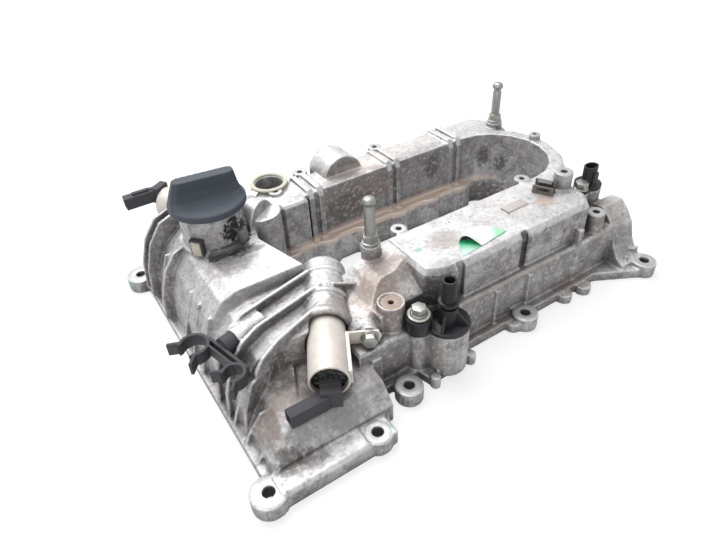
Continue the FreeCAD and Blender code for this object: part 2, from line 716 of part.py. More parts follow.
def outer_details():
    """Ribs, bands and lobes that stand on the outer form and stop at the hollow inside."""
    details = [
        fin("fin_upper", -d.window_right + 11, d.fin_yaw, d.right_dome_top + d.fin_rise, 36),
        fin("fin_middle", -d.window_right - 7, d.fin_yaw, d.right_dome_top + d.fin_rise - 1, 38),
        fin("fin_lower", -d.window_right - 21, d.fin_yaw + 6, d.right_dome_top + d.fin_rise - 3, 44),
        fin("fin_left_outer", d.front_half_width - 10, 0, d.left_dome_top, 38),
        fin("fin_left_inner", d.front_half_width - 27, 0, d.left_dome_top + 4, 38),
        fin("fin_left_edge", d.neck_y + 4, 0, d.left_dome_top - 5, 34),
    ]
    details.append(side("block_rib", [(0, 58), (0, d.right_front_top), (26, d.right_front_top - 9), (26, 58)],
                        -1.3, 1.3, HOME.at(d.front_rear + 3, -d.window_right - 12, 0, yaw=-13)))
    for i, (y, rise) in enumerate(((-112, 15), (-94, 25), (-74, 34), (-14, 52), (6, 52), (24, 52), (84, 52))):
        details.append(gusset(f"gusset_{i}", as_size(y), as_size(rise)))
    for i, x in enumerate((d.band_front, d.band_middle, d.band_rear)):
        for j in range(2):
            low = x + d.band_gap * j
            details.append(end_on(f"band_{i}_{j}", [
                (d.window_left - d.band_rise, d.ledge_height - 2),
                (d.window_left - d.band_rise, d.ridge_top - d.edge_bevel),
                (d.window_left + d.edge_bevel - 1, d.ridge_top + d.band_rise),
                (d.left_ridge - d.edge_bevel + 1, d.ridge_top + d.band_rise),
                (d.left_ridge + d.band_rise, d.ridge_top - d.edge_bevel),
                (d.left_ridge + d.band_rise, d.step_height - 2)], low, low + d.band_width))
    for i in range(6):
        details.append(rod(f"well_side_{i}", 17, 0, d.ledge_height, d.window_front + 24 + d.cylinder_pitch * i,
                           d.window_left + 13 - d.ledge_reach))
    details.append(box("inner_ledge", (d.window_front + 6, d.window_rear - 40),
                       (d.window_left - d.ledge_reach, d.window_left + 8), (0, d.ledge_height)))
    details.append(rod("window_column", 17, 0, d.ridge_top + 3, d.window_front + 2, d.window_left - 3))
    block = plan("window_block", [(d.window_front + 8, d.window_left + 8), (d.window_front + 24, d.window_left - 5.5),
                                  (d.band_front - 3, d.window_left - 5.5), (d.band_front, d.window_left + 8)],
                 0, d.ridge_top - 1)
    details.append(bevel_top("window_block_bevel", block, d.ridge_top - 1, 2.5))
    details.append(end_on("saddle_block", [(0, 0), (0, 50), (-6, 50), (-50, 31), (-58, 20), (-58, 0)], -15, 3,
                          HOME.at(d.neck_x, d.right_valve_y + 7, 0, yaw=-24)))
    details.append(plan("spot_shoulder", [(d.front_block_start + 2, -d.right_ridge + 22), (d.front_rear + 17, -d.right_ridge + 3),
                                          (d.front_rear + 36, -d.right_ridge + 3), (d.front_rear + 50, -d.right_ridge + 22)],
                        0, d.right_front_top - 11))
    for i, (x, y) in enumerate(flange_bolts()):
        radius = d.corner_boss_radius if i < 2 else d.bolt_boss_radius
        details.append(rod(f"bolt_boss_{i}", radius, 0, d.boss_top, x, y))
    for label, sign in (("right", -1), ("left", 1)):
        details.append(box(f"second_ear_{label}", (d.second_bolt_x - 9, d.second_bolt_x + 12),
                           sorted(((d.front_half_width - 2) * sign, (d.second_bolt_y + 8) * sign),
                                  key=lambda size: size.number), (0, d.boss_top)))
    for label, edge, sign in (("right", d.right_skirt, -1), ("left", d.left_skirt, 1)):
        ear = d.rear_bolt_y
        details.append(plan(f"ear_arm_{label}", [
            (d.rear_bolt_x - 62, edge * sign), (d.rear_bolt_x + 14, edge * sign),
            (d.rear_bolt_x + 9, ear * sign), (d.rear_bolt_x - 8, (ear + 6) * sign)], 0, d.flange_thick))
    details.append(plan("ear_fin", [
        (d.right_ridge_end + 12, -d.right_ridge + 30), (d.right_ridge_end + 17, -d.right_ridge + 30),
        (d.rear_bolt_x + 2, -d.rear_bolt_y + 10), (d.rear_bolt_x - 5, -d.rear_bolt_y + 10)], 0, 22))
    details.append(end_on("ear_fin_upper", [
        (-d.right_ridge + 20, d.flange_thick), (-d.right_ridge + 20, d.sensor_seat - d.sensor_pillar + 2),
        (-d.right_ridge + 8, d.sensor_seat - d.sensor_pillar + 4), (-d.right_ridge - 1, d.sensor_seat - 20),
        (-d.right_skirt - 1, d.step_height - 4), (-d.right_skirt - 5, d.step_height - 18),
        (-d.right_skirt - 11, d.flange_thick + 9), (-d.rear_bolt_y + 5, d.flange_thick + 4),
        (-d.rear_bolt_y + 5, d.flange_thick - 2), (-d.right_skirt + 4, d.flange_thick - 2)],
                          d.rear_bolt_x - 24, d.rear_bolt_x + 3))
    details.append(plan("breather_bump", [
        (d.breather_x - 28, -d.right_skirt), (d.breather_x - 22, -d.right_skirt - 20),
        (d.breather_x + 22, -d.right_skirt - 18), (d.breather_x + 28, -d.right_skirt)], 0, d.flange_thick - 1))
    details.append(rod("broken_nub_0", 4, 0, d.flange_thick + 2, d.breather_x - 19, -d.right_skirt - 21))
    details.append(rod("broken_nub_1", 4, 0, d.flange_thick + 1, d.breather_x + 19, -d.right_skirt - 18))
    for i, (x, y) in enumerate(((242, 3), (304, 3), (326, 5))):
        details.append(rod(f"plain_lobe_{i}", 7, 0, d.flange_thick - 1, as_size(x), -d.right_flange - y + 2))
    details.append(box("side_pilaster_rear", (d.right_ridge_end - 28, d.right_ridge_end - 23),
                       (-d.right_skirt - 1.2, -d.right_ridge + 4), (0, d.ridge_top - 18)))
    for i, x in enumerate((d.groove_front + 35, d.groove_rear + 4)):
        details.append(box(f"skirt_rib_{i}", (x - 1.3, x + 1.3), (-d.right_skirt - 3, -d.right_skirt + 3),
                           (d.flange_thick - 1, d.step_height - 2)))
    details.append(rod("pump_dome", 21, d.left_ridge - 22, d.left_ridge + 9, 0, 0,
                       HOME.at(d.pump_x, 0, d.ridge_top - 4, roll=-90)))
    return details


def hollows():
    """Space under the casting, one wall inside the outer form."""
    wall = d.wall
    start, end = d.right_ridge_start, d.right_ridge_end
    inner_right = -d.window_right - wall
    inner_left = d.window_left + wall
    rear = d.cover_length - wall
    top = d.ridge_top - wall
    return [
        front_housing("front_hollow", d.wall),
        plan("right_hollow", [(start + wall, inner_right), (end - wall, inner_right),
                              (end - wall, -d.right_ridge + 15 + wall), (end - 13, -d.right_ridge + wall + d.groove_depth - 1),
                              (start + 27, -d.right_ridge + wall + d.groove_depth - 1), (start + wall, -d.right_ridge + 12 + wall)],
             -1, top),
        box("right_front_hollow", (d.front_block_start + wall, d.right_ridge_start + wall + 1),
            (-d.right_ridge + 15 + wall, inner_right), (-1, d.right_front_top - wall * 3.6)),
        box("right_skirt_hollow", (d.front_rear, rear), (-d.right_skirt + wall, -d.window_right - 20),
            (-1, d.step_height - wall)),
        box("right_passage", (d.front_rear - 12, d.front_rear + 1), (-d.right_skirt + wall, -d.window_right - 20),
            (-1, d.step_height - wall * 3.5)),
        box("left_hollow", (d.window_front - 30, d.left_ridge_end - wall - 8),
            (inner_left, d.left_ridge - wall - 3), (-1, top)),
        box("left_skirt_hollow", (d.front_rear - 12, rear), (inner_left + 14, d.left_skirt - wall),
            (-1, d.step_height - wall)),
        box("sensor_hollow", (d.right_ridge_end - 20, d.sensor_x + 10), (d.sensor_y - 10, d.sensor_y + 10),
            (-1, d.sensor_seat - d.sensor_pillar - wall - 2)),
    ]


def valve_housing(label, valve, reach, depth):
    """Round housing of a control valve with its collars, along the valve axis."""
    depth = depth + d.wall
    return [
        rod(f"{label}_valve_tunnel", d.valve_boss - 1, -depth, reach, frame=valve),
        rod(f"{label}_valve_rim", d.valve_boss, reach - 6, reach - 1.5, frame=valve),
        rod(f"{label}_valve_collar", d.valve_boss + 0.6, -27, -23, frame=valve),
        rod(f"{label}_valve_collar_inner", d.valve_boss + 0.6, 13 - depth, 17 - depth, frame=valve),
    ]


def inner_details():
    """Housings, bosses and posts that also stand inside the hollow."""
    details = valve_housing("right", RIGHT_VALVE, 0, d.valve_depth)
    details += valve_housing("left", LEFT_VALVE, d.left_sleeve, d.left_depth)
    details.append(rod("bracket_boss_right", 7.5, -34, d.ear_seat, d.ear_reach, 0, RIGHT_VALVE))
    details.append(rod("bracket_boss_left", 7, -30, d.left_sleeve + 2, d.ear_reach, 0, LEFT_VALVE))
    details.append(box("valve_pillar", (d.front_rear, d.front_rear + 9), (-d.right_skirt - 3, -d.right_ridge + 6),
                       (d.flange_thick - 1, d.step_height - 8)))
    details.append(rod("neck_tube", d.neck_radius, -40, 0, frame=NECK))
    details.append(rod("neck_collar", d.neck_radius + 2, -40, -29, frame=NECK))
    details.append(rod("breather_housing", d.breather_radius, 5 - d.breather_seat, 0, frame=BREATHER))
    details.append(rod("eye_pillar", 8, d.flange_thick - d.breather_seat - 1, 0, frame=EYE))
    details.append(rod("spot_pad", 10.5, d.flange_thick, d.right_front_top - 4, d.front_rear + 29.5, -d.right_ridge + 8))
    for label, stud, foot in (("front", FRONT_STUD, -17), ("rear", REAR_STUD, -12)):
        details.append(rod(f"{label}_stud_boss", d.stud_boss_radius, foot, 0, frame=stud))
    details.append(rod("port_tube", d.port_radius, -34, 0, frame=PORT))
    details.append(rod("port_slot_boss", 6.5, -20, 0, -2, -17, PORT))
    details.append(rod("sensor_boss", d.sensor_bore + 3, -24, 0, frame=SENSOR))
    details.append(rod("sensor_bolt_boss", 7, -24, 0, frame=SENSOR_BOLT))
    details.append(rod("rear_post", 8, d.ridge_top - 9, d.ridge_top + d.rear_post_rise,
                       d.right_ridge_end - d.rear_post_inset, d.rear_post_y))
    details.append(rod("side_boss_rear", 8, d.flange_thick, d.sensor_seat - 8, d.right_ridge_end + 4, -d.right_ridge + 3))
    details.append(rod("window_boss_front", 7, d.ridge_top - 9, d.ridge_top + 1, d.window_boss_front, -d.window_right + 6))
    details.append(rod("window_boss_rear", 7, d.ridge_top - 9, d.ridge_top + 1, d.window_boss_rear, -d.window_right + 4))
    details.append(rod("left_boss_front", 7, d.ridge_top - 20, d.ridge_top + 2, d.left_boss_front, d.left_ridge + 3))
    details.append(rod("left_boss_middle", 7, d.ridge_top - 20, d.ridge_top + 2, d.left_boss_rear, d.left_ridge + 2))
    details.append(rod("rear_boss", 5.5, d.ridge_top - 14, d.ridge_top + 6, d.window_rear + 6, 20))
    details.append(box("bare_plate", (272, 293), (-d.window_right - 30, -d.window_right - 21),
                       (d.ridge_top - 1, d.ridge_top + 0.8)))
    details.append(rod("clip_boss", d.plug_boss_radius, 0, 26, frame=CLIP_BOSS))
    for label, y in (("right", d.right_post_y), ("left", d.left_post_y)):
        for i in range(4):
            details.append(rod(f"{label}_post_{i}", d.baffle_post, d.ridge_top - d.wall - d.baffle_drop,
                               d.ridge_top - 2, d.baffle_start + d.baffle_pitch * i, y))
    return details


def valve_bores(label, valve, reach, depth):
    clear = d.fit_gap
    trough = d.can_length + 8
    tools = [rod(f"{label}_valve_bore", d.valve_bore, -depth, reach + 1, frame=valve),
             rod(f"{label}_can_recess", d.can_radius + 1.4, -d.rim_recess, trough, frame=valve),
             rod(f"{label}_bracket_thread", d.small_hole_radius, -12, as_size(reach) + 20, d.ear_reach, 0, valve)]
    if label == "left":
        tools.append(rod("left_strap_slot", 4, -d.rim_recess, reach + 1, d.can_radius + clear, 0, valve))
    return tools


def bores():
    """Holes, bores and the gasket groove."""
    tools = valve_bores("right", RIGHT_VALVE, 0, d.valve_depth)
    tools += valve_bores("left", LEFT_VALVE, d.left_sleeve, d.left_depth)
    for i, (x, y) in enumerate(flange_bolts()):
        tools.append(rod(f"bolt_hole_{i}", d.bolt_hole_radius, -1, d.boss_top + 1, x, y))
    tools.append(rod("neck_hollow", d.neck_bore, -66, -d.mouth_thick, frame=NECK))
    tools.append(rod("neck_chamber", d.lug_chamber, -d.mouth_thick - d.lug_thick * 2, -d.mouth_thick, frame=NECK))
    tools.append(rod("neck_opening", d.neck_mouth, -d.mouth_thick - 1, 1, frame=NECK))
    notch = d.lug_width / 2 + 0.7
    tools.append(box("lug_notch", (-notch, notch), (-d.lug_reach - 0.6, d.lug_reach + 0.6),
                     (-d.mouth_thick - 1, 1), NECK))
    tools.append(rod("breather_hollow", d.breather_bore, 10 - d.breather_seat, 1, frame=BREATHER))
    tools.append(rod("eye_thread", d.small_hole_radius, -24, 1, frame=EYE))
    tools.append(rod("port_hollow", d.port_bore, -31, 1, frame=PORT))
    tools.append(rod("port_throat", 5, -38, -30, 0, -9, PORT))
    tools.append(rod("port_slot_hole", 2.6, -8, 1, -2, -17, PORT))
    tools.append(rod("sensor_hole", d.sensor_bore, -40, 1, frame=SENSOR))
    tools.append(rod("sensor_bolt_hole", d.small_hole_radius, -14, 1, frame=SENSOR_BOLT))
    for label, stud in (("front", FRONT_STUD), ("rear", REAR_STUD)):
        tools.append(rod(f"{label}_stud_hole", d.stud_thread + d.fit_gap, -12.5, 1, frame=stud))
    tools.append(rod("rear_post_hole", 3, d.ridge_top - 2, d.ridge_top + d.rear_post_rise + 1,
                     d.right_ridge_end - d.rear_post_inset, d.rear_post_y))
    tools.append(rod("side_boss_hole", 3.2, d.sensor_seat - 22, d.sensor_seat - 7, d.right_ridge_end + 4, -d.right_ridge + 3))
    tools.append(rod("window_boss_hole_front", 2.6, d.ridge_top - 10, d.ridge_top + 2, d.window_boss_front, -d.window_right + 6))
    tools.append(rod("window_boss_hole_rear", 2.6, d.ridge_top - 10, d.ridge_top + 2, d.window_boss_rear, -d.window_right + 4))
    tools.append(rod("left_boss_hole_front", 2.6, d.ridge_top - 10, d.ridge_top + 3, d.left_boss_front, d.left_ridge + 3))
    tools.append(rod("left_boss_hole_middle", 2.6, d.ridge_top - 10, d.ridge_top + 3, d.left_boss_rear, d.left_ridge + 2))
    tools.append(rod("rear_boss_hole", 2.2, d.ridge_top - 4, d.ridge_top + 7, d.window_rear + 6, 20))
    tools.append(rod("spot_face", 8.8, d.right_front_top - 5.5, d.right_front_top - 3, d.front_rear + 29.5, -d.right_ridge + 8))
    tools.append(rod("spot_hole", 2.2, d.right_front_top - 21, d.right_front_top - 3, d.front_rear + 29.5, -d.right_ridge + 8))
    tools.append(rod("clip_socket", 4.1, -1, 9, frame=CLIP_BOSS))
    tools.append(rod("hub_room", 8.2, -12, -0.01, frame=CLIP_BOSS))
    reach = d.pipe_pitch / 2 + d.large_pipe
    tools.append(box("clip_room", (-reach, reach), (-1.5, 24), (-d.clip_depth / 2 - 1.5, d.clip_depth / 2 + 1.5), PIPE_CLIP))
    tools.append(rod("ear_room", 7.4, d.ear_seat, d.ear_seat + 16, d.ear_reach, 0, RIGHT_VALVE))
    for i, x in enumerate((d.groove_front, d.groove_rear)):
        tools.append(box(f"wall_groove_{i}", (x, x + d.groove_width), (-d.right_ridge - 1, -d.right_ridge + d.groove_depth),
                         (d.step_height, d.ridge_top + 1)))
    for label, y in (("right", d.right_post_y), ("left", d.left_post_y)):
        for i in range(4):
            tools.append(rod(f"{label}_post_hole_{i}", d.screw_radius + d.fit_gap,
                             d.ridge_top - d.wall - d.baffle_drop - 1, d.ridge_top - d.wall,
                             d.baffle_start + d.baffle_pitch * i, y))
    edge = (d.wall - d.gasket_width) / 2
    tools.append(cut("gasket_groove", plan("groove_outer", skirt_outline(edge), -1, d.gasket_depth),
                     plan("groove_inner", skirt_outline(edge + d.gasket_width), -2, d.gasket_depth + 1)))
    return tools


def make_casting():
    solid = fuse("casting_blocks", *outer_masses())
    solid = cut("casting_window", solid, plan("window_space", window_outline(as_size(0)), -1, d.ridge_top + 30))
    solid = fuse("casting_outside", solid, *outer_details())
    solid = cut("casting_shell", solid, *hollows())
    solid = fuse("casting_with_bosses", solid, *inner_details())
    PARTS.append(cut("cover_casting", solid, *bores()))


def make_gasket():
    edge = (d.wall - d.gasket_width) / 2 + d.fit_gap
    outer = plan("gasket_outer", skirt_outline(edge), 0, d.gasket_depth)
    inner = plan("gasket_inner", skirt_outline(edge + d.gasket_width - d.fit_gap * 2), -1, d.gasket_depth + 1)
    PARTS.append(cut("perimeter_gasket", outer, inner))


# Filler cap and what is on the neck.

def make_cap():
    seat = d.seal_thick
    top = seat + d.cap_thick
    drop = -d.mouth_thick - 6
    body = turned("oil_cap", [(0, drop), (d.plug_radius - 1, drop), (d.plug_radius, drop + 1),
                              (d.plug_radius, seat), (d.cap_radius - 0.8, seat), (d.cap_radius, seat + 1),
                              (d.cap_radius, top - 1.2), (d.cap_radius - 1.4, top), (0, top)], NECK)
    low = -d.mouth_thick - 0.3 - d.lug_thick
    pad(body, "cap_lugs", rectangle((-d.lug_reach, d.lug_reach), (-d.lug_width / 2, d.lug_width / 2)),
        low, low + d.lug_thick)
    loft = body.newObject("PartDesign::AdditiveLoft", "cap_grip")
    sections = []
    for name, height, front, rear, half in (
            ("foot", -0.5, 29.5, 29, 15), ("waist", 4, 29, 28, 8.5),
            ("neck", 10, 27, 26.5, 6), ("crest", 19.5, 23, 25, 5.5)):
        sketch = sketch_in(body, "cap_grip_" + name, "XY_Plane", top + d.grip_height * (height / 19.5))
        width = d.grip_thick * (half / 11)
        draw(sketch, [(-front, -width * 0.6), (-front + 4, -width), (rear - 4, -width), (rear, -width * 0.6),
                      (rear, width * 0.6), (rear - 4, width), (-front + 4, width), (-front, width * 0.6)])
        bind(sketch, "AttachmentOffset.Rotation.Angle", d.grip_yaw)
        sections.append(sketch)
    loft.Profile = sections[0]
    loft.Sections = sections[1:]
    loft.Ruled = True
    PARTS.append(body)
    seal = turned("oil_cap_seal", [(d.plug_radius + d.fit_gap, 0), (d.neck_radius - 2, 0),
                                   (d.neck_radius - 2, d.seal_thick), (d.plug_radius + d.fit_gap, d.seal_thick)], NECK)
    PARTS.append(seal)


def make_neck_tabs():
    for name, turn in (("neck_tab_front", -140), ("neck_tab_side", -53)):
        frame = NECK.at(yaw=turn)
        half = d.clip_tab_width / 2
        reach = d.neck_radius + d.clip_tab_thick
        block = box(name + "_block", (d.neck_radius - 3, reach), (-half, half), (-29, d.clip_tab_height - 29), frame)
        PARTS.append(cut(name, block, rod(name + "_seat", d.neck_radius, -40, 1, frame=NECK)))


# Control valves.

def make_valve(label, valve, yaw, seat, depth):
    """Spool valve, can, connector, bracket, bolt and sealing ring of one side."""
    groove = d.valve_bore - 2
    sleeve = d.valve_bore - d.fit_gap
    lower = -depth + 2
    points = [(0, lower), (sleeve - 1.5, lower), (sleeve - 1.5, lower + 6), (sleeve, lower + 7)]
    for k in range(2):
        start = lower + 11 + 11 * k
        points += [(sleeve, start), (groove, start + 0.5), (groove, start + 4), (sleeve, start + 4.5)]
    points += [(sleeve, -12), (groove, -12), (groove, -9.8), (sleeve, -9.8), (sleeve, -d.rim_recess),
               (0, -d.rim_recess)]
    PARTS.append(turned(f"control_valve_{label}", points, valve))
    PARTS.append(ring(f"valve_ring_{label}", valve, groove + 1, 0.9, -10.9))
    base = -d.rim_recess
    inside = d.can_radius - d.can_wall
    PARTS.append(turned(f"solenoid_can_{label}", [
        (0, base), (d.can_radius, base), (d.can_radius, d.can_length), (inside, d.can_length),
        (inside, base + d.can_wall), (0, base + d.can_wall)], valve))
    fill = d.can_length - 5
    core = rod(f"solenoid_fill_{label}", inside - d.fit_gap, base + d.can_wall, fill, frame=valve)
    end = d.can_length + 0.4
    neck = box(f"connector_neck_{label}", (-7, 7), (-10, 0), (fill - 2, end + 1), valve)
    block = box(f"connector_block_{label}", (-7, 8), (-17, -2), (end, end + 7.5), valve)
    arm_frame = valve.at(-3, -10.5, end + 4.8, pitch=yaw)
    half = d.connector_size / 2
    arm = box(f"connector_arm_{label}", (-d.connector_arm, 0), (-half, half), (-half + 1, half - 1), arm_frame)
    latch = box(f"connector_latch_{label}", (-d.connector_arm + 8, -6), (-half - 2, -half + 1),
                (-2, 2), arm_frame)
    mouth = box(f"connector_mouth_{label}", (-d.connector_arm - 1, -d.connector_arm + 12), (-half + 1.3, half - 1.3),
                (-half + 2.3, half - 2.3), arm_frame)
    PARTS.append(cut(f"solenoid_connector_{label}", fuse(f"connector_solid_{label}", core, neck, block, arm, latch), mouth))
    thick = d.bracket_thick
    ear = plan(f"bracket_ear_{label}", [(12, -5.5), (d.ear_reach - 3, -5.9), (d.ear_reach + 7, -5), (d.ear_reach + 9, 0),
                                        (d.ear_reach + 7, 5), (d.ear_reach - 3, 5.9), (12, 5.5)], seat, seat + thick, valve)
    strap = box(f"bracket_strap_{label}", (d.can_radius - 1, d.can_radius + 1.6), (-6, 6),
                (seat, d.can_length - 3), valve)
    trim = rod(f"bracket_trim_{label}", d.can_radius + 0.02, base, d.can_length + 5, frame=valve)
    hole = rod(f"bracket_hole_{label}", d.small_bolt_radius + d.fit_gap, seat - 1, seat + thick + 1, d.ear_reach, 0, valve)
    PARTS.append(cut(f"solenoid_bracket_{label}", fuse(f"bracket_solid_{label}", ear, strap), trim, hole))
    PARTS.append(flange_bolt(f"solenoid_bolt_{label}", valve.at(d.ear_reach, 0, seat + thick), as_size(14), d.hex_size, 6.6))


# Breather fitting.

def make_breather():
    clear = d.fit_gap
    spigot = rod("breather_spigot", d.breather_bore - clear, -16, 0, frame=BREATHER)
    plate = rod("breather_plate", d.breather_radius + 0.5, 0, 3, frame=BREATHER)
    web = plan("breather_web", [(0, 4 - d.breather_radius), (4, d.breather_radius - 3),
                                (d.eye_x + 4, d.eye_y + d.eye_radius - 2), (d.eye_x - 2, d.eye_y - d.eye_radius + 3)],
               0, 2.4, BREATHER)
    eye = rod("breather_eye", d.eye_radius, 0, 13, frame=EYE)
    hub = rod("breather_hub", 7.6, 0, 18, frame=BREATHER)
    collar = rod("breather_collar", 7.8, 20.5, 23, frame=BREATHER)
    tube = rod("breather_tube", d.hose_radius, 0, d.hose_length, frame=BREATHER)
    reach = d.breather_radius - 1
    ribs = [side(f"breather_rib_{k}", [(-reach, 2), (-reach, 3.6), (-6, 15), (6, 15), (reach, 3.6), (reach, 2)],
                 -1.2, 1.2, BREATHER.at(yaw=35 + 90 * k)) for k in range(2)]
    ring_groove = cut("spigot_groove", rod("spigot_groove_outer", d.breather_bore + 1, -9, -6.6, frame=BREATHER),
                      rod("spigot_groove_inner", d.breather_bore - 2, -10, -5, frame=BREATHER))
    core = fuse("breather_core", spigot, plate, hub, collar, tube)
    arm = fuse("breather_arm", web, eye)
    solid = fuse("breather_solid", fuse("breather_ribbed", core, *ribs), arm, refine=False)
    PARTS.append(cut("breather_fitting", solid, ring_groove,
                     rod("breather_way", d.hose_radius - 1.5, -17, d.hose_length + 1, frame=BREATHER),
                     rod("eye_way", 6.2, -1, 14, frame=EYE), refine=False))
    PARTS.append(ring("breather_ring", BREATHER, d.breather_bore - 1, 0.95, -7.8))
    sleeve = d.small_bolt_radius + clear
    PARTS.append(turned("breather_bush", [(sleeve, 0), (6.2 - clear, 0), (6.2 - clear, 13), (8, 13), (8, 13.8),
                                          (sleeve, 13.8)], EYE))
    PARTS.append(turned("breather_washer", [(sleeve, 13.8), (8.8, 13.8), (8.8, 15.2), (sleeve, 15.2)], EYE))
    PARTS.append(flange_bolt("breather_bolt", EYE.at(0, 0, 15.2), as_size(36), d.hex_size, 6.6))


# Cam sensor.

def make_sensor():
    tip = -30
    body = turned("cam_sensor", [(0, tip), (d.sensor_bore - 1.6, tip), (d.sensor_bore - 0.6, tip + 1),
                                 (d.sensor_bore - 0.6, -12), (d.sensor_bore - d.fit_gap, -12),
                                 (d.sensor_bore - d.fit_gap, -8), (d.sensor_bore - 1.8, -8),
                                 (d.sensor_bore - 1.8, -5.6), (d.sensor_bore - d.fit_gap, -5.6),
                                 (d.sensor_bore - d.fit_gap, 0), (d.sensor_bore + 3, 0), (d.sensor_bore + 3, 3),
                                 (0, 3)], SENSOR)
    pad(body, "sensor_ear", [(0, -d.sensor_bore), (d.sensor_bolt_x, d.sensor_bolt_y - 6.5),
                             (d.sensor_bolt_x - 6, d.sensor_bolt_y - 2), (d.sensor_bolt_x - 5, d.sensor_bolt_y + 4),
                             (d.sensor_bolt_x, d.sensor_bolt_y + 6.5), (0, d.sensor_bore)], 0, 3)
    oval = ellipse_points(as_size(0), as_size(0), as_size(7.6), as_size(5.6), range(0, 360, 30))
    pad(body, "sensor_tower", oval, 3, 20)
    inside = ellipse_points(as_size(0), as_size(0), as_size(6.2), as_size(4.2), range(0, 360, 30))
    pocket(body, "sensor_mouth", inside, 9, 20)
    pad(body, "sensor_latch", rectangle((-3, 3), (-7.4, -5)), 3, 15)
    bore(body, "sensor_eye", d.small_bolt_radius + d.fit_gap, -1, 4, d.sensor_bolt_x, d.sensor_bolt_y)
    PARTS.append(body)
    PARTS.append(ring("cam_sensor_ring", SENSOR, d.sensor_bore - 0.9, 0.85, -6.8))
    PARTS.append(flange_bolt("cam_sensor_bolt", SENSOR_BOLT.at(0, 0, 3), as_size(15), d.hex_size, 6.4))


# Studs, port seal, clips and tape.

def make_stud(label, frame):
    shaft = d.stud_length
    body = turned(label, [(0, -12), (d.stud_thread - 0.8, -12), (d.stud_thread, -11), (d.stud_thread, 0), (7.2, 0),
                          (7.2, 2.2), (5, 3), (5, 8.5), (d.stud_radius, 9.2), (d.stud_radius, shaft - 2),
                          (d.stud_radius - 0.9, shaft), (d.stud_radius - 0.9, shaft + 1),
                          (d.stud_head - 0.4, shaft + 2.4), (d.stud_head, shaft + 4.2),
                          (d.stud_head - 1, shaft + 6.6), (d.stud_head - 3, shaft + 7.8), (0, shaft + 8.2)], frame)
    pad(body, label + "_hexagon", hexagon(11), 2.2, 8)
    PARTS.append(body)


def make_port_seal():
    PARTS.append(turned("port_seal", [(d.port_bore + 0.6, 0), (d.port_radius + 0.6, 0), (d.port_radius + 0.6, 1.2),
                                      (d.port_radius - 0.6, 2), (d.port_bore + 1.6, 2), (d.port_bore + 0.6, 1.2)], PORT))


def arc_clip(name, radius, x, y):
    """Three quarters of a ring that opens outwards, with two lips."""
    outer = radius + d.clip_wall
    low, high = -d.clip_depth / 2, d.clip_depth / 2
    band = cut(name + "_band", rod(name + "_outer", outer, low, high, x, y, PIPE_CLIP),
               rod(name + "_inner", radius, low - 1, high + 1, x, y, PIPE_CLIP),
               box(name + "_gap", (x - radius * 0.78, x + radius * 0.78), (y, y + outer + 1), (low - 1, high + 1), PIPE_CLIP))
    lips = []
    for sign, label in ((-1, "a"), (1, "b")):
        root = x + radius * 0.82 * sign
        tip = x + (radius + 6) * sign
        lips.append(plan(f"{name}_lip_{label}", [(root, y + radius * 0.62), (root + d.clip_wall * 0.8 * sign, y + radius * 0.45),
                                                 (tip, y + radius + 3), (tip - d.clip_wall * 0.6 * sign, y + radius + 4.5)],
                         low, high, PIPE_CLIP))
    return [band] + lips


def make_pipe_clip():
    low, high = -d.clip_depth / 2, d.clip_depth / 2
    half = d.pipe_pitch / 2
    large_y = d.large_pipe + d.clip_wall * 1.5
    small_y = d.small_pipe + d.clip_wall * 1.5
    plate = box("clip_plate", (-half - 4, half - 3), (0, d.clip_wall), (low, high), PIPE_CLIP)
    link = box("clip_link", (-half + 5, half - 8), (5, 5 + d.clip_wall * 0.7), (low, high), PIPE_CLIP)
    stem = rod("clip_stem", 4, -10.5, 8, frame=CLIP_BOSS)
    hub = rod("clip_hub", 7.5, -9.5, -0.3, frame=CLIP_BOSS)
    pieces = arc_clip("large_clip", d.large_pipe, half, large_y) + arc_clip("small_clip", d.small_pipe, -half, small_y)
    PARTS.append(fuse("pipe_clip", plate, link, stem, hub, *pieces))


def make_harness_clip():
    frame = Frame(d.harness_x, -d.window_right - d.harness_y, d.ridge_top, yaw=-62)
    base = box("harness_base", (-9, 9), (-5, 5), (0, 1.2), frame)
    front = box("harness_front", (-9, 9), (-5, -3.8), (0, 7.5), frame)
    back = box("harness_back", (-9, 9), (3.8, 5), (0, 9.5), frame)
    roof = box("harness_roof", (-6, 6), (-1, 5), (8.3, 9.5), frame)
    window = box("harness_window", (-5, 5), (-8, -3), (2.6, 5.6), frame)
    PARTS.append(cut("harness_clip", fuse("harness_solid", base, front, back, roof), window))


def make_tape():
    corners = [(205, -76), (207, -88), (230, -82), (250, -86), (256, -69), (238, -62)]
    PARTS.append(plan("tape_scrap", [(as_size(x), as_size(y)) for x, y in corners], d.ridge_top, d.ridge_top + 0.4))


# Oil baffles under the ridges.

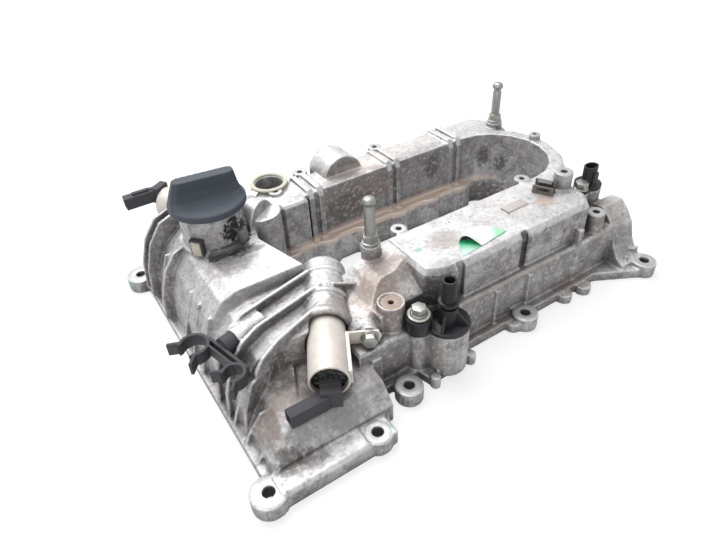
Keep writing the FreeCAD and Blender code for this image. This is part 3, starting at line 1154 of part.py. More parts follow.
def make_baffles():
    seat = d.ridge_top - d.wall - d.baffle_drop
    low = seat - d.baffle_thick
    for label, y, half in (("right", d.right_post_y, d.sheet_reach_right), ("left", d.left_post_y, d.sheet_reach_left)):
        start = d.baffle_start - 11
        end = d.baffle_start + d.baffle_pitch * 3 + 8
        cut_off = half * 0.5 if label == "right" else half / 3
        body = new_body(f"oil_baffle_{label}", HOME)
        pad(body, f"baffle_sheet_{label}", [
            (start + cut_off, y - half), (end - cut_off, y - half), (end, y - half + cut_off), (end, y + half),
            (start, y + half), (start, y - half + cut_off)], low, seat)
        for i in range(4):
            bore(body, f"baffle_hole_{label}_{i}", d.screw_radius + d.fit_gap, low - 1, seat + 1,
                 d.baffle_start + d.baffle_pitch * i, y)
        PARTS.append(body)
        for i in range(4):
            frame = Frame(d.baffle_start + d.baffle_pitch * i, y, low, roll=180)
            PARTS.append(turned(f"baffle_screw_{label}_{i + 1}", [
                (0, -9), (d.screw_radius, -9), (d.screw_radius, 0), (4.5, 0), (4.5, 1.2), (3.6, 2.6), (1.5, 3),
                (1.5, 1.4), (0, 1.4)], frame))


make_casting()
make_gasket()
make_cap()
make_neck_tabs()
make_valve("right", RIGHT_VALVE, d.valve_yaw, d.ear_seat, d.valve_depth)
make_valve("left", LEFT_VALVE, d.left_valve_yaw, d.left_sleeve + 2, d.left_depth)
make_breather()
make_sensor()
make_stud("cover_stud_front", FRONT_STUD)
make_stud("cover_stud_rear", REAR_STUD)
make_port_seal()
make_pipe_clip()
make_harness_clip()
make_tape()
make_baffles()

doc.recompute()
for item in doc.Objects:
    if "Invalid" in item.State or "Error" in item.State:
        raise RuntimeError(f"{item.Label} failed: {item.State}")
for part in PARTS:
    if part.Shape.isNull() or not part.Shape.isValid():
        raise RuntimeError(f"{part.Label} has no valid shape")
os.makedirs("parts", exist_ok=True)
for part in PARTS:
    part.Shape.exportStep(f"parts/{part.Label}.step")
    print(f"{part.Label}: {len(part.Shape.Solids)} solid, {part.Shape.Volume / 1000:.2f} cubic cm")
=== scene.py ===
import math

import bpy
from mathutils import Matrix, Vector


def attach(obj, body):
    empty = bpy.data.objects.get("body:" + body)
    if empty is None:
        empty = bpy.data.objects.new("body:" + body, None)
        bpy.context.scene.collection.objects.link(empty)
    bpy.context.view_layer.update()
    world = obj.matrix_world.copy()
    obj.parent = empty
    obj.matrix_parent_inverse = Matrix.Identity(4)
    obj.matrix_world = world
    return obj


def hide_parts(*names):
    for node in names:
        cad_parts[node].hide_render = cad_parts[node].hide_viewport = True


bl_info = {
    "name": "Engine Valve Cover",
    "version": (1, 0, 0),
    "blender": (4, 5, 0),
    "location": "3D View > Sidebar > Valve Cover",
    "description": "Dresses the solids of a used engine valve cover with cast, plated and moulded finishes",
    "category": "Object",
}

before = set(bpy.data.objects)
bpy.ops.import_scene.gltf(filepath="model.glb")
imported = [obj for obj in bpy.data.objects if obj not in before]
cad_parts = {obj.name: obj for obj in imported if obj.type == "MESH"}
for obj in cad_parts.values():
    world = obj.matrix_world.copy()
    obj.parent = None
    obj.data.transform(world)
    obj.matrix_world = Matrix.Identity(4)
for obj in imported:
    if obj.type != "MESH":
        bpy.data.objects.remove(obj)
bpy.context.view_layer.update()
MM = 0.001


def turn(axis, degrees):
    return Matrix.Rotation(math.radians(degrees), 4, axis)


def shift(x, y, z):
    """A move by millimetres."""
    return Matrix.Translation((x * MM, y * MM, z * MM))


def metres(values):
    """A place or size in millimetres as metres."""
    return [value * MM for value in values]


# Places of the fitted parts, in millimetres, with Z along each part's own axis.
RIGHT_VALVE = shift(87, -69, 52) @ turn("Z", -28) @ turn("X", 90)
LEFT_VALVE = shift(70.7, 99, 76) @ turn("Z", 35) @ turn("X", -90)
NECK = shift(58, 61, 106)
NECK_RADIUS = 25.5


# Settings that a user would change.

class StageSettings(bpy.types.PropertyGroup):
    """Light and camera."""
    key_light: bpy.props.FloatProperty(
        name="Key Light", description="Power of the softbox above the part",
        default=18.8, min=0.0, unit="POWER")
    fill_light: bpy.props.FloatProperty(
        name="Fill Light", description="Power of the softbox beside the camera",
        default=3.6, min=0.0, unit="POWER")
    ambient: bpy.props.FloatProperty(
        name="Ambient", description="Strength of the light from all round", default=0.33, min=0.0)
    lens: bpy.props.FloatProperty(
        name="Lens", description="Focal length of the camera", default=29.36, min=1.0, unit="CAMERA")


class CastingSettings(bpy.types.PropertyGroup):
    """Skin and colours of the aluminium casting."""
    grain: bpy.props.FloatProperty(
        name="Skin Grain", description="Size of the facets that the cast skin is built from",
        default=0.95 * MM, min=0.5 * MM, unit="LENGTH")
    rounding: bpy.props.IntProperty(
        name="Rounding", description="Smoothing passes that round the cast edges", default=1, min=0)
    budget: bpy.props.IntProperty(
        name="Facets", description="Most triangles in the finished skin", default=196000, min=1000)
    metal: bpy.props.FloatVectorProperty(
        name="Metal", description="Clean cast aluminium", subtype="COLOR",
        default=(0.82, 0.82, 0.82), min=0, max=1)
    # This colour also paints shade: it darkens the walls and the shade rows of the casting's marks, besides
    # the stains and speckles.
    stain_and_shade: bpy.props.FloatVectorProperty(
        name="Stained Metal", description="Aluminium darkened by oil and heat", subtype="COLOR",
        default=(0.235, 0.225, 0.232), min=0, max=1)
    # This colour also paints shade in the corners, creases and recesses and in some of the casting's marks.
    grime_and_shade: bpy.props.FloatVectorProperty(
        name="Grime", description="Old oil in the corners", subtype="COLOR",
        default=(0.040, 0.034, 0.030), min=0, max=1)
    dust: bpy.props.FloatVectorProperty(
        name="Dust", description="Dry dust baked on the ledges", subtype="COLOR",
        default=(0.27, 0.215, 0.185), min=0, max=1)
    silt: bpy.props.FloatVectorProperty(
        name="Silt", description="Pale dust on the ledge of the window", subtype="COLOR",
        default=(0.74, 0.62, 0.53), min=0, max=1)
    oil: bpy.props.FloatVectorProperty(
        name="Oil", description="Black oil on the filler neck", subtype="COLOR",
        default=(0.012, 0.010, 0.012), min=0, max=1)
    rust: bpy.props.FloatVectorProperty(
        name="Rust", description="Rust that ran from the harness clip", subtype="COLOR",
        default=(0.48, 0.25, 0.10), min=0, max=1)
    paint: bpy.props.FloatVectorProperty(
        name="Paint Dot", description="Dots of marking paint", subtype="COLOR",
        default=(0.15, 0.42, 0.38), min=0, max=1)


class FittingSettings(bpy.types.PropertyGroup):
    """Colours and edges of the parts on the casting."""
    edge: bpy.props.FloatProperty(
        name="Moulded Edge", description="Rounding of the moulded edges",
        default=0.4 * MM, min=0.0, unit="LENGTH")
    metal_edge: bpy.props.FloatProperty(
        name="Metal Edge", description="Rounding of the sheet and bolt edges",
        default=0.25 * MM, min=0.0, unit="LENGTH")
    cap_colour: bpy.props.FloatVectorProperty(
        name="Filler Cap", description="Plastic of the filler cap", subtype="COLOR",
        default=(0.010, 0.011, 0.015), min=0, max=1)
    can_colour: bpy.props.FloatVectorProperty(
        name="Solenoid Can", description="Plating of the cans and brackets", subtype="COLOR",
        default=(0.82, 0.76, 0.69), min=0, max=1)
    clip_colour: bpy.props.FloatVectorProperty(
        name="Pipe Clip", description="Plastic of the pipe clip and connectors", subtype="COLOR",
        default=(0.045, 0.053, 0.080), min=0, max=1)
    zinc_colour: bpy.props.FloatVectorProperty(
        name="Zinc", description="Plating of the bolts and studs", subtype="COLOR",
        default=(0.33, 0.34, 0.315), min=0, max=1)
    tape_colour: bpy.props.FloatVectorProperty(
        name="Film", description="Scrap of film on the ridge", subtype="COLOR",
        default=(0.01, 0.42, 0.17), min=0, max=1)


class CoverSettings(bpy.types.PropertyGroup):
    """All settings of the valve cover."""
    stage: bpy.props.PointerProperty(type=StageSettings)
    casting: bpy.props.PointerProperty(type=CastingSettings)
    fitting: bpy.props.PointerProperty(type=FittingSettings)


# Modelling steps.

def deselect():
    bpy.ops.object.select_all(action="DESELECT")


def pick(piece):
    deselect()
    piece.select_set(True)
    bpy.context.view_layer.objects.active = piece


def modify(piece, kind, **settings):
    """Adds one modifier and applies it."""
    pick(piece)
    bpy.ops.object.modifier_add(type=kind)
    modifier = piece.modifiers[-1]
    for name, value in settings.items():
        setattr(modifier, name, value)
    bpy.ops.object.modifier_apply(modifier=modifier.name)


def copy_node(node, name):
    """A copy of a solid's mesh as a piece of its own, with its loose triangles joined."""
    piece = bpy.data.objects.new(name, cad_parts[node].data.copy())
    bpy.context.scene.collection.objects.link(piece)
    pick(piece)
    bpy.ops.object.mode_set(mode="EDIT")
    bpy.ops.mesh.select_all(action="SELECT")
    bpy.ops.mesh.remove_doubles(threshold=0.01 * MM)
    bpy.ops.object.mode_set(mode="OBJECT")
    return piece


def smooth_by_angle(piece, degrees=35):
    pick(piece)
    bpy.ops.object.shade_smooth_by_angle(angle=math.radians(degrees))


def bevel(piece, width):
    """Rounds the edges of a fresh piece by a width in millimetres."""
    modify(piece, "BEVEL", limit_method="ANGLE", width=width * MM, segments=2)


def soften(piece, width):
    """Rounds the hard edges of a copied solid, once its flat faces are whole."""
    pick(piece)
    bpy.ops.object.mode_set(mode="EDIT")
    bpy.ops.mesh.select_all(action="SELECT")
    bpy.ops.mesh.dissolve_limited(angle_limit=math.radians(1))
    bpy.ops.object.mode_set(mode="OBJECT")
    modify(piece, "BEVEL", limit_method="ANGLE", angle_limit=math.radians(30), width=width, segments=2)
    smooth_by_angle(piece)


def rebuild_skin(piece, grain, passes, facets):
    """Rebuilds a solid's skin from even facets, rounds it and thins it to a number of triangles."""
    modify(piece, "REMESH", mode="VOXEL", voxel_size=grain, use_smooth_shade=True)
    modify(piece, "SMOOTH", factor=0.5, iterations=passes)
    triangles = len(piece.data.polygons) * 2
    modify(piece, "DECIMATE", ratio=min(1.0, facets / triangles))


def rounded_box(name, size, edge, place):
    """A box with rounded edges, its size and edge in millimetres."""
    deselect()
    bpy.ops.mesh.primitive_cube_add(size=1)
    piece = bpy.context.object
    piece.name = name
    bpy.ops.transform.resize(value=metres(size))
    bpy.ops.object.transform_apply(location=False, rotation=False, scale=True)
    bevel(piece, edge)
    piece.data.transform(place)
    smooth_by_angle(piece)
    return piece


def finish_piece(piece, material, slot, *nodes, body="cover"):
    piece.data.materials.clear()
    piece.data.materials.append(material)
    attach(piece, body)
    if nodes:
        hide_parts(*nodes)


def dress_node(node, finish):
    """Gives a solid that stays as it is its material."""
    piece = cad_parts[node]
    piece.data.materials.clear()
    piece.data.materials.append(material(finish))


def material(name):
    return bpy.data.materials[name]


# Node building.

def feed(tree, socket, value):
    if isinstance(value, bpy.types.NodeSocket):
        tree.links.new(value, socket)
    else:
        socket.default_value = value


def add(tree, kind, inputs=None, **settings):
    made = tree.nodes.new("ShaderNode" + kind)
    for key, value in settings.items():
        setattr(made, key, value)
    for key, value in (inputs or {}).items():
        feed(tree, made.inputs[key], value)
    return made


def maths(tree, operation, first, second, clamp=False):
    return add(tree, "Math", {0: first, 1: second}, operation=operation, use_clamp=clamp).outputs[0]


def plus(tree, first, second):
    return maths(tree, "ADD", first, second)


def minus(tree, first, second):
    return maths(tree, "SUBTRACT", first, second)


def times(tree, first, second):
    return maths(tree, "MULTIPLY", first, second)


def weigh(tree, *terms):
    """Sum of masks, each times its weight, held to 1."""
    total = 0.0
    for mask, weight in terms:
        total = maths(tree, "ADD", total, times(tree, mask, weight), clamp=True)
    return total


def remap(tree, value, low, high, to_low=0.0, to_high=1.0):
    made = tree.nodes.new("ShaderNodeMapRange")
    for index, entry in enumerate((value, low, high, to_low, to_high)):
        feed(tree, made.inputs[index], entry)
    return made.outputs[0]


def noise(tree, position, scale, detail, roughness=0.55):
    inputs = {"Vector": position, "Scale": scale, "Detail": detail, "Roughness": roughness}
    return add(tree, "TexNoise", inputs).outputs[0]


def upwardness(tree):
    """1 on a face that looks up, 0 on a wall."""
    return add(tree, "SeparateXYZ", {0: add(tree, "NewGeometry").outputs["Normal"]}).outputs["Z"]


# Sockets of a colour Mix node.
MIX_FACTOR, MIX_FIRST, MIX_SECOND, MIX_RESULT = 0, 6, 7, 2


def mix(tree, factor, first, second):
    """Mixes two colours, each a socket or three numbers."""
    made = add(tree, "Mix", data_type="RGBA")
    feed(tree, made.inputs[MIX_FACTOR], factor)
    for index, colour in ((MIX_FIRST, first), (MIX_SECOND, second)):
        if not isinstance(colour, bpy.types.NodeSocket):
            colour = (*colour, 1.0)
        feed(tree, made.inputs[index], colour)
    return made.outputs[MIX_RESULT]


def coat(tree, colour, mask, share, over):
    """Lays a colour over another where a mask shows, up to a share."""
    return mix(tree, times(tree, mask, share), colour, over)


def new_group(name, inputs, output):
    """An empty node group with named sockets: its tree, its input sockets and its output socket."""
    tree = bpy.data.node_groups.new(name, "ShaderNodeTree")
    for label, kind, default in inputs:
        socket = tree.interface.new_socket(label, in_out="INPUT", socket_type="NodeSocket" + kind)
        socket.default_value = default
    tree.interface.new_socket(output, in_out="OUTPUT", socket_type="NodeSocketFloat")
    start = tree.nodes.new("NodeGroupInput")
    end = tree.nodes.new("NodeGroupOutput")
    return tree, start.outputs, end.inputs[output]


def use_group(tree, name, output, **inputs):
    made = tree.nodes.new("ShaderNodeGroup")
    made.node_tree = bpy.data.node_groups[name]
    for key, value in inputs.items():
        feed(tree, made.inputs[key], value)
    return made.outputs[output]


# Shared patterns, as node groups. Scales are in cycles per metre.

POSITION = ("Position", "Vector", (0.0, 0.0, 0.0))


def make_mottle():
    """Patches of broad and fine noise. Cover is their share, Softness the blur of their edge."""
    tree, given, mask = new_group(
        "Mottle",
        (POSITION, ("Scale", "Float", 60.0), ("Cover", "Float", 0.5), ("Softness", "Float", 0.2)), "Mask")
    finer = 5.3
    broad_weight, fine_weight = 0.72, 0.28
    bare_level, cover_range = 0.72, 0.44
    fine_scale = times(tree, given["Scale"], finer)
    broad = noise(tree, given["Position"], given["Scale"], detail=5.0, roughness=0.6)
    fine = noise(tree, given["Position"], fine_scale, detail=3.0, roughness=0.6)
    level = plus(tree, times(tree, broad, broad_weight), times(tree, fine, fine_weight))
    edge = minus(tree, bare_level, times(tree, given["Cover"], cover_range))
    inside, outside = plus(tree, edge, given["Softness"]), minus(tree, edge, given["Softness"])
    feed(tree, mask, remap(tree, level, outside, inside))


def make_patch():
    """One round patch with a ragged edge, at a place on the part."""
    tree, given, mask = new_group(
        "Patch",
        (POSITION, ("Centre", "Vector", (0.0, 0.0, 0.0)), ("Reach", "Vector", (0.02, 0.02, 0.02)),
         ("Ragged", "Float", 0.35), ("Softness", "Float", 0.3)), "Mask")
    wobble_scale, most_wobble = 120.0, 4.0
    offset = add(tree, "VectorMath", {0: given["Position"], 1: given["Centre"]}, operation="SUBTRACT")
    scaled = add(tree, "VectorMath", {0: offset.outputs[0], 1: given["Reach"]}, operation="DIVIDE")
    length = add(tree, "VectorMath", {0: scaled.outputs[0]}, operation="LENGTH").outputs["Value"]
    uneven = minus(tree, noise(tree, given["Position"], wobble_scale, detail=5.0, roughness=0.65), 0.5)
    level = plus(tree, length, times(tree, uneven, times(tree, given["Ragged"], most_wobble)))
    inside, outside = minus(tree, 1.0, given["Softness"]), plus(tree, 1.0, given["Softness"])
    feed(tree, mask, remap(tree, level, outside, inside))


def make_edge_mask(name, start, direction):
    """Convex or concave edges, by how far the surface's pointedness lies past a start."""
    tree, given, mask = new_group(name, (POSITION, ("Width", "Float", 0.06)), "Mask")
    break_scale, break_depth = 220.0, 0.05
    pointed = add(tree, "NewGeometry").outputs["Pointiness"]
    uneven = minus(tree, noise(tree, given["Position"], break_scale, detail=3.0), 0.5)
    level = plus(tree, pointed, times(tree, uneven, break_depth))
    feed(tree, mask, remap(tree, level, start, maths(tree, direction, start, given["Width"])))


def make_grain():
    """Height of a sand-cast or moulded grain with pits."""
    tree, given, height = new_group(
        "Grain", (POSITION, ("Scale", "Float", 900.0), ("Pits", "Float", 0.3)), "Height")
    coarser = 0.22
    fine_weight, coarse_weight = 0.6, 0.5
    pit_edge, pit_floor = 0.36, 0.28
    coarse_scale = times(tree, given["Scale"], coarser)
    fine = noise(tree, given["Position"], given["Scale"], detail=2.0, roughness=0.5)
    coarse = noise(tree, given["Position"], coarse_scale, detail=3.0, roughness=0.6)
    pits = times(tree, remap(tree, coarse, pit_edge, pit_floor), given["Pits"])
    grains = plus(tree, times(tree, fine, fine_weight), times(tree, coarse, coarse_weight))
    feed(tree, height, minus(tree, grains, pits))


def make_settled_dust():
    """Cloudy dust on the faces that look up."""
    tree, given, mask = new_group("Settled Dust", (POSITION, ("Amount", "Float", 0.4)), "Mask")
    sloping, lying = 0.25, 0.95
    thin, thick = 0.35, 0.65
    clouds = noise(tree, given["Position"], scale=70.0, detail=6.0, roughness=0.7)
    level = times(tree, remap(tree, upwardness(tree), sloping, lying), clouds)
    feed(tree, mask, times(tree, remap(tree, level, thin, thick), given["Amount"]))


def make_groups():
    make_mottle()
    make_patch()
    # These edges also paint highlights, along with wear.
    make_edge_mask("Worn Edges", start=0.515, direction="ADD")
    # These corners also paint shade, where it falls in creases.
    make_edge_mask("Dirty Corners", start=0.49, direction="SUBTRACT")
    make_grain()
    make_settled_dust()


def mottle(tree, position, scale, cover, softness):
    return use_group(tree, "Mottle", "Mask", Position=position, Scale=scale, Cover=cover, Softness=softness)


def patch_at(tree, position, centre, reach, ragged, softness):
    """A patch with its centre and reach in millimetres."""
    return use_group(tree, "Patch", "Mask", Position=position, Centre=metres(centre), Reach=metres(reach),
                     Ragged=ragged, Softness=softness)


def sheltered(tree, distance, samples, open_to, closed_to):
    """1 in the corners and recesses, by how little of the surroundings a point is open to: painted shade
    there, together with the grime that gathers in them.
    """
    openness = add(tree, "AmbientOcclusion", {"Distance": distance * MM}, samples=samples).outputs["AO"]
    return remap(tree, openness, open_to, closed_to)


# Materials.

def new_material(name):
    """A new material's node tree, its shader and the position on the part."""
    made = bpy.data.materials.new(name)
    made.use_nodes = True
    tree = made.node_tree
    return tree, tree.nodes["Principled BSDF"], add(tree, "TexCoord").outputs["Object"]


def bump(tree, shader, height, strength, depth):
    """Raises the surface by a height pattern, with its depth in millimetres."""
    made = add(tree, "Bump", {"Height": height, "Strength": strength, "Distance": depth * MM})
    tree.links.new(made.outputs["Normal"], shader.inputs["Normal"])


# Marks on the casting: colour, centre and reach in millimetres, strength and raggedness.
# Many shade rows and some grime rows are painted shade and painted shadow: on the walls, between the fins,
# in a slit and a well, and under and behind the breather and the solenoid can. The other rows are stains,
# soot, dust, oil, rust and paint.
MARKS_AND_SHADES = (
    ("stain_and_shade", (246, 70, 56), (150, 10, 30), 0.5, 0.45),
    ("dust", (205, 70, 62), (44, 10, 18), 0.6, 0.5),
    ("grime_and_shade", (190, 67, 50), (30, 6, 16), 0.5, 0.6),
    ("grime_and_shade", (293, 66, 61), (9, 7, 13), 0.6, 0.4),
    ("grime_and_shade", (356, 59, 55), (6, 7, 11), 0.7, 0.35),
    ("grime_and_shade", (371, 47, 49), (5, 7, 9), 0.7, 0.35),
    ("grime_and_shade", (360, 56, 12), (26, 18, 12), 0.65, 0.5),
    ("dust", (143, -60, 74), (24, 22, 14), 0.75, 0.5),
    ("dust", (128, -66, 66), (18, 18, 14), 0.75, 0.45),
    ("dust", (134, -86, 60), (16, 14, 16), 0.7, 0.35),
    ("dust", (98, -70, 68), (16, 16, 12), 0.55, 0.5),
    ("dust", (204, -62, 80), (13, 10, 4), 0.5, 0.7),
    ("stain_and_shade", (176, -90, 62), (22, 13, 24), 0.8, 0.3),
    ("grime_and_shade", (177, -92, 60), (15, 9, 17), 0.5, 0.5),
    ("stain_and_shade", (120, -101, 25), (15, 13, 16), 0.6, 0.4),
    ("dust", (153, -116, 28), (16, 9, 15), 0.45, 0.6),
    ("dust", (221, -106, 9), (26, 9, 9), 0.6, 0.5),
    ("dust", (319, -106, 9), (24, 9, 9), 0.65, 0.5),
    ("dust", (238, -100, 45), (64, 5, 4), 0.45, 0.6),
    ("stain_and_shade", (240, -105, 22), (90, 9, 20), 0.5, 0.5),
    ("dust", (362, -84, 50), (28, 22, 16), 0.5, 0.4),
    ("stain_and_shade", (376, -106, 28), (16, 11, 20), 0.65, 0.4),
    ("grime_and_shade", (262, -95, 66), (5, 8, 18), 0.9, 0.1),
    ("stain_and_shade", (60, -110, 34), (56, 30, 26), 0.6, 0.6),
    ("dust", (40, -96, 36), (17, 15, 15), 0.6, 0.6),
    ("dust", (17, -105, 27), (10, 15, 15), 0.6, 0.5),
    ("grime_and_shade", (44, -79, 45), (13, 13, 13), 0.7, 0.5),
    ("grime_and_shade", (17, -87, 43), (8, 8, 14), 0.55, 0.5),
    ("grime_and_shade", (21, -129, 17), (10, 8, 10), 0.7, 0.5),
    ("grime_and_shade", (36, -134, 14), (10, 7, 8), 0.55, 0.5),
    ("grime_and_shade", (84, -110, 50), (11, 13, 16), 0.55, 0.5),
    ("stain_and_shade", (100, -115, 31), (4, 7, 16), 0.8, 0.1),
    ("stain_and_shade", (68, -122, 25), (15, 9, 12), 0.5, 0.6),
    ("stain_and_shade", (35, -71, 60), (15, 11, 13), 0.55, 0.5),
    ("stain_and_shade", (18, 101, 48), (12, 16, 26), 0.4, 0.5),
    ("grime_and_shade", (52, 20, 74), (18, 14, 8), 0.35, 0.75),
    ("oil", (66, 36, 93), (11, 8, 9), 1.0, 0.55),
    ("oil", (77, 42, 84), (8, 8, 9), 0.95, 0.6),
    ("oil", (59, 33, 78), (24, 7, 4), 0.7, 0.5),
    ("oil", (70, 25, 76), (15, 5, 4), 0.55, 0.8),
    ("rust", (309, -68, 80), (9, 8, 3), 0.4, 0.3),
    ("paint", (179, -60, 80), (2.6, 2.6, 2), 0.7, 0.15),
    ("paint", (301, -58, 80), (2.4, 2.0, 2), 0.7, 0.15),
    ("paint", (94, -141, 14), (3, 3, 3), 0.6, 0.15),
    ("paint", (-9, 133, 10), (4, 5, 6), 0.5, 0.2),
)

# Pale silt, which lies over the grime and the painted shade.
SILT = (
    ("silt", (236, 60, 30), (142, 13, 5), 0.95, 0.2),
    ("silt", (236, 84, 83), (60, 12, 5), 0.35, 0.5),
)

STAIN_SOFTNESS = 0.3
OIL_SOFTNESS = 0.06

# Mottles of the casting: scale, cover and softness.
CASTING_MOTTLES = {
    "broad": (13.0, 0.5, 0.14),
    "cloud": (60.0, 0.46, 0.1),
    "speckle": (330.0, 0.45, 0.05),
    "flecks": (150.0, 0.22, 0.03),
    "blotch": (95.0, 0.48, 0.05),
    "glints": (240.0, 0.34, 0.05),
}
# Pale flecks that are painted glints.
GLINT_COLOUR = (0.78, 0.76, 0.74)
# Pale metal on the edges: wear, with painted highlights.
WORN_AND_LIT_METAL = (0.82, 0.82, 0.82)

# How far up a face looks where the painted shade of the walls ends, and where it is full.
LYING = 0.85
STANDING = 0.1


def lay_marks_and_shades(tree, position, settings, colour, mark_rows):
    for kind, centre, reach, strength, ragged in mark_rows:
        softness = OIL_SOFTNESS if kind == "oil" else STAIN_SOFTNESS
        patch = patch_at(tree, position, centre, reach, ragged, softness)
        colour = coat(tree, colour, patch, strength, getattr(settings, kind))
    return colour


def casting_material(settings):
    """Cast aluminium under stains, dust and silt, with painted shade on the walls, painted shade and grime
    in the corners, painted glints, and bright edges that are wear and painted highlights.
    """
    tree, shader, position = new_material("grimy_cast_aluminium")
    masks = {name: mottle(tree, position, *row) for name, row in CASTING_MOTTLES.items()}
    steep = remap(tree, upwardness(tree), LYING, STANDING)
    hollow = sheltered(tree, distance=22, samples=8, open_to=0.78, closed_to=0.28)
    settled = use_group(tree, "Settled Dust", "Mask", Position=position, Amount=0.6)
    worn_and_lit = use_group(tree, "Worn Edges", "Mask", Position=position, Width=0.07)
    corners = use_group(tree, "Dirty Corners", "Mask", Position=position, Width=0.07)

    # Random stains from the mottles, with painted shade that darkens the walls.
    stain_and_wall_shade = weigh(tree, (masks["broad"], 0.28), (masks["cloud"], 0.26), (steep, 0.40),
                    (times(tree, masks["blotch"], steep), 0.3))
    spots = times(tree, masks["speckle"], remap(tree, masks["broad"], 0.0, 1.0, to_low=0.25))
    glint_share = remap(tree, steep, 0.0, 1.0, to_low=0.2, to_high=0.5)
    colour = mix(tree, stain_and_wall_shade, settings.metal, settings.stain_and_shade)
    colour = coat(tree, colour, spots, 0.62, settings.stain_and_shade)
    colour = coat(tree, colour, masks["flecks"], 0.7, settings.grime_and_shade)
    colour = coat(tree, colour, settled, 0.3, settings.dust)
    # Stains, soot, dust, oil, rust and paint, with patches of painted shade and painted shadow.
    colour = lay_marks_and_shades(tree, position, settings, colour, MARKS_AND_SHADES)
    # Painted glints, more of them on the walls.
    colour = coat(tree, colour, masks["glints"], glint_share, GLINT_COLOUR)
    # Painted shade, with grime, in the corners, creases and recesses.
    colour = coat(tree, colour, hollow, 0.88, settings.grime_and_shade)
    colour = coat(tree, colour, corners, 0.75, settings.grime_and_shade)
    colour = lay_marks_and_shades(tree, position, settings, colour, SILT)
    # Lighter edges: wear, with painted highlights.
    colour = coat(tree, colour, worn_and_lit, 0.7, WORN_AND_LIT_METAL)
    tree.links.new(colour, shader.inputs["Base Color"])

    dirt_and_shade = maths(tree, "MAXIMUM", hollow, times(tree, stain_and_wall_shade, 0.8))
    tree.links.new(remap(tree, dirt_and_shade, 0.0, 1.0, to_low=0.55, to_high=0.1), shader.inputs["Metallic"])
    tree.links.new(remap(tree, dirt_and_shade, 0.0, 1.0, to_low=0.4, to_high=0.7), shader.inputs["Roughness"])
    grain = use_group(tree, "Grain", "Height", Position=position, Scale=800.0, Pits=0.5)
    bump(tree, shader, grain, strength=0.7, depth=0.3)


def plain_finish(name, colour, metallic=0.0, roughness=0.5, grain=900.0, relief=0.2, worn_and_lit=0.1, grime_and_shade=0.3,
                 grime_and_shade_colour=(0.05, 0.042, 0.034), gloss=0.5):
    """A finish with fine grain, uneven gloss, random darker mottles, painted shade and grime in the
    corners, and worn edges with painted highlights.
    """
    tree, shader, position = new_material(name)
    cloud = mottle(tree, position, scale=110.0, cover=0.45, softness=0.18)
    # Painted shade, with grime, in the corners and recesses.
    hollow = sheltered(tree, distance=6, samples=4, open_to=0.8, closed_to=0.3)
    bright = tuple(min(1.0, channel * 1.5 + 0.03) for channel in colour)
    dark = tuple(channel * 0.72 for channel in colour)
    dirt_and_shade_mask = maths(tree, "MAXIMUM", hollow, times(tree, cloud, 0.4))
    # Lighter edges: wear, with painted highlights.
    edges = use_group(tree, "Worn Edges", "Mask", Position=position, Width=0.05)
    base = coat(tree, colour, cloud, 0.55, dark)
    base = coat(tree, base, dirt_and_shade_mask, grime_and_shade, grime_and_shade_colour)
    base = coat(tree, base, edges, worn_and_lit, bright)
    tree.links.new(base, shader.inputs["Base Color"])
    rougher = min(1.0, roughness + 0.16)
    tree.links.new(remap(tree, cloud, 0.0, 1.0, roughness, rougher), shader.inputs["Roughness"])
    shader.inputs["Metallic"].default_value = metallic
    shader.inputs["Specular IOR Level"].default_value = gloss
    height = use_group(tree, "Grain", "Height", Position=position, Scale=grain, Pits=0.1)
    bump(tree, shader, height, relief, depth=0.12)


def film_material(name, film_colour, *pale_patches):
    """Glossy film with pale patches: centre and reach in millimetres, softness and colour."""
    tree, shader, position = new_material(name)
    colour = tuple(film_colour)
    for centre, reach, softness, pale in pale_patches:
        patch = patch_at(tree, position, centre, reach, ragged=0.04, softness=softness)
        colour = mix(tree, patch, colour, pale)
    tree.links.new(colour, shader.inputs["Base Color"])
    shader.inputs["Roughness"].default_value = 0.2
    bump(tree, shader, noise(tree, position, scale=90.0, detail=2.0), strength=0.3, depth=0.5)


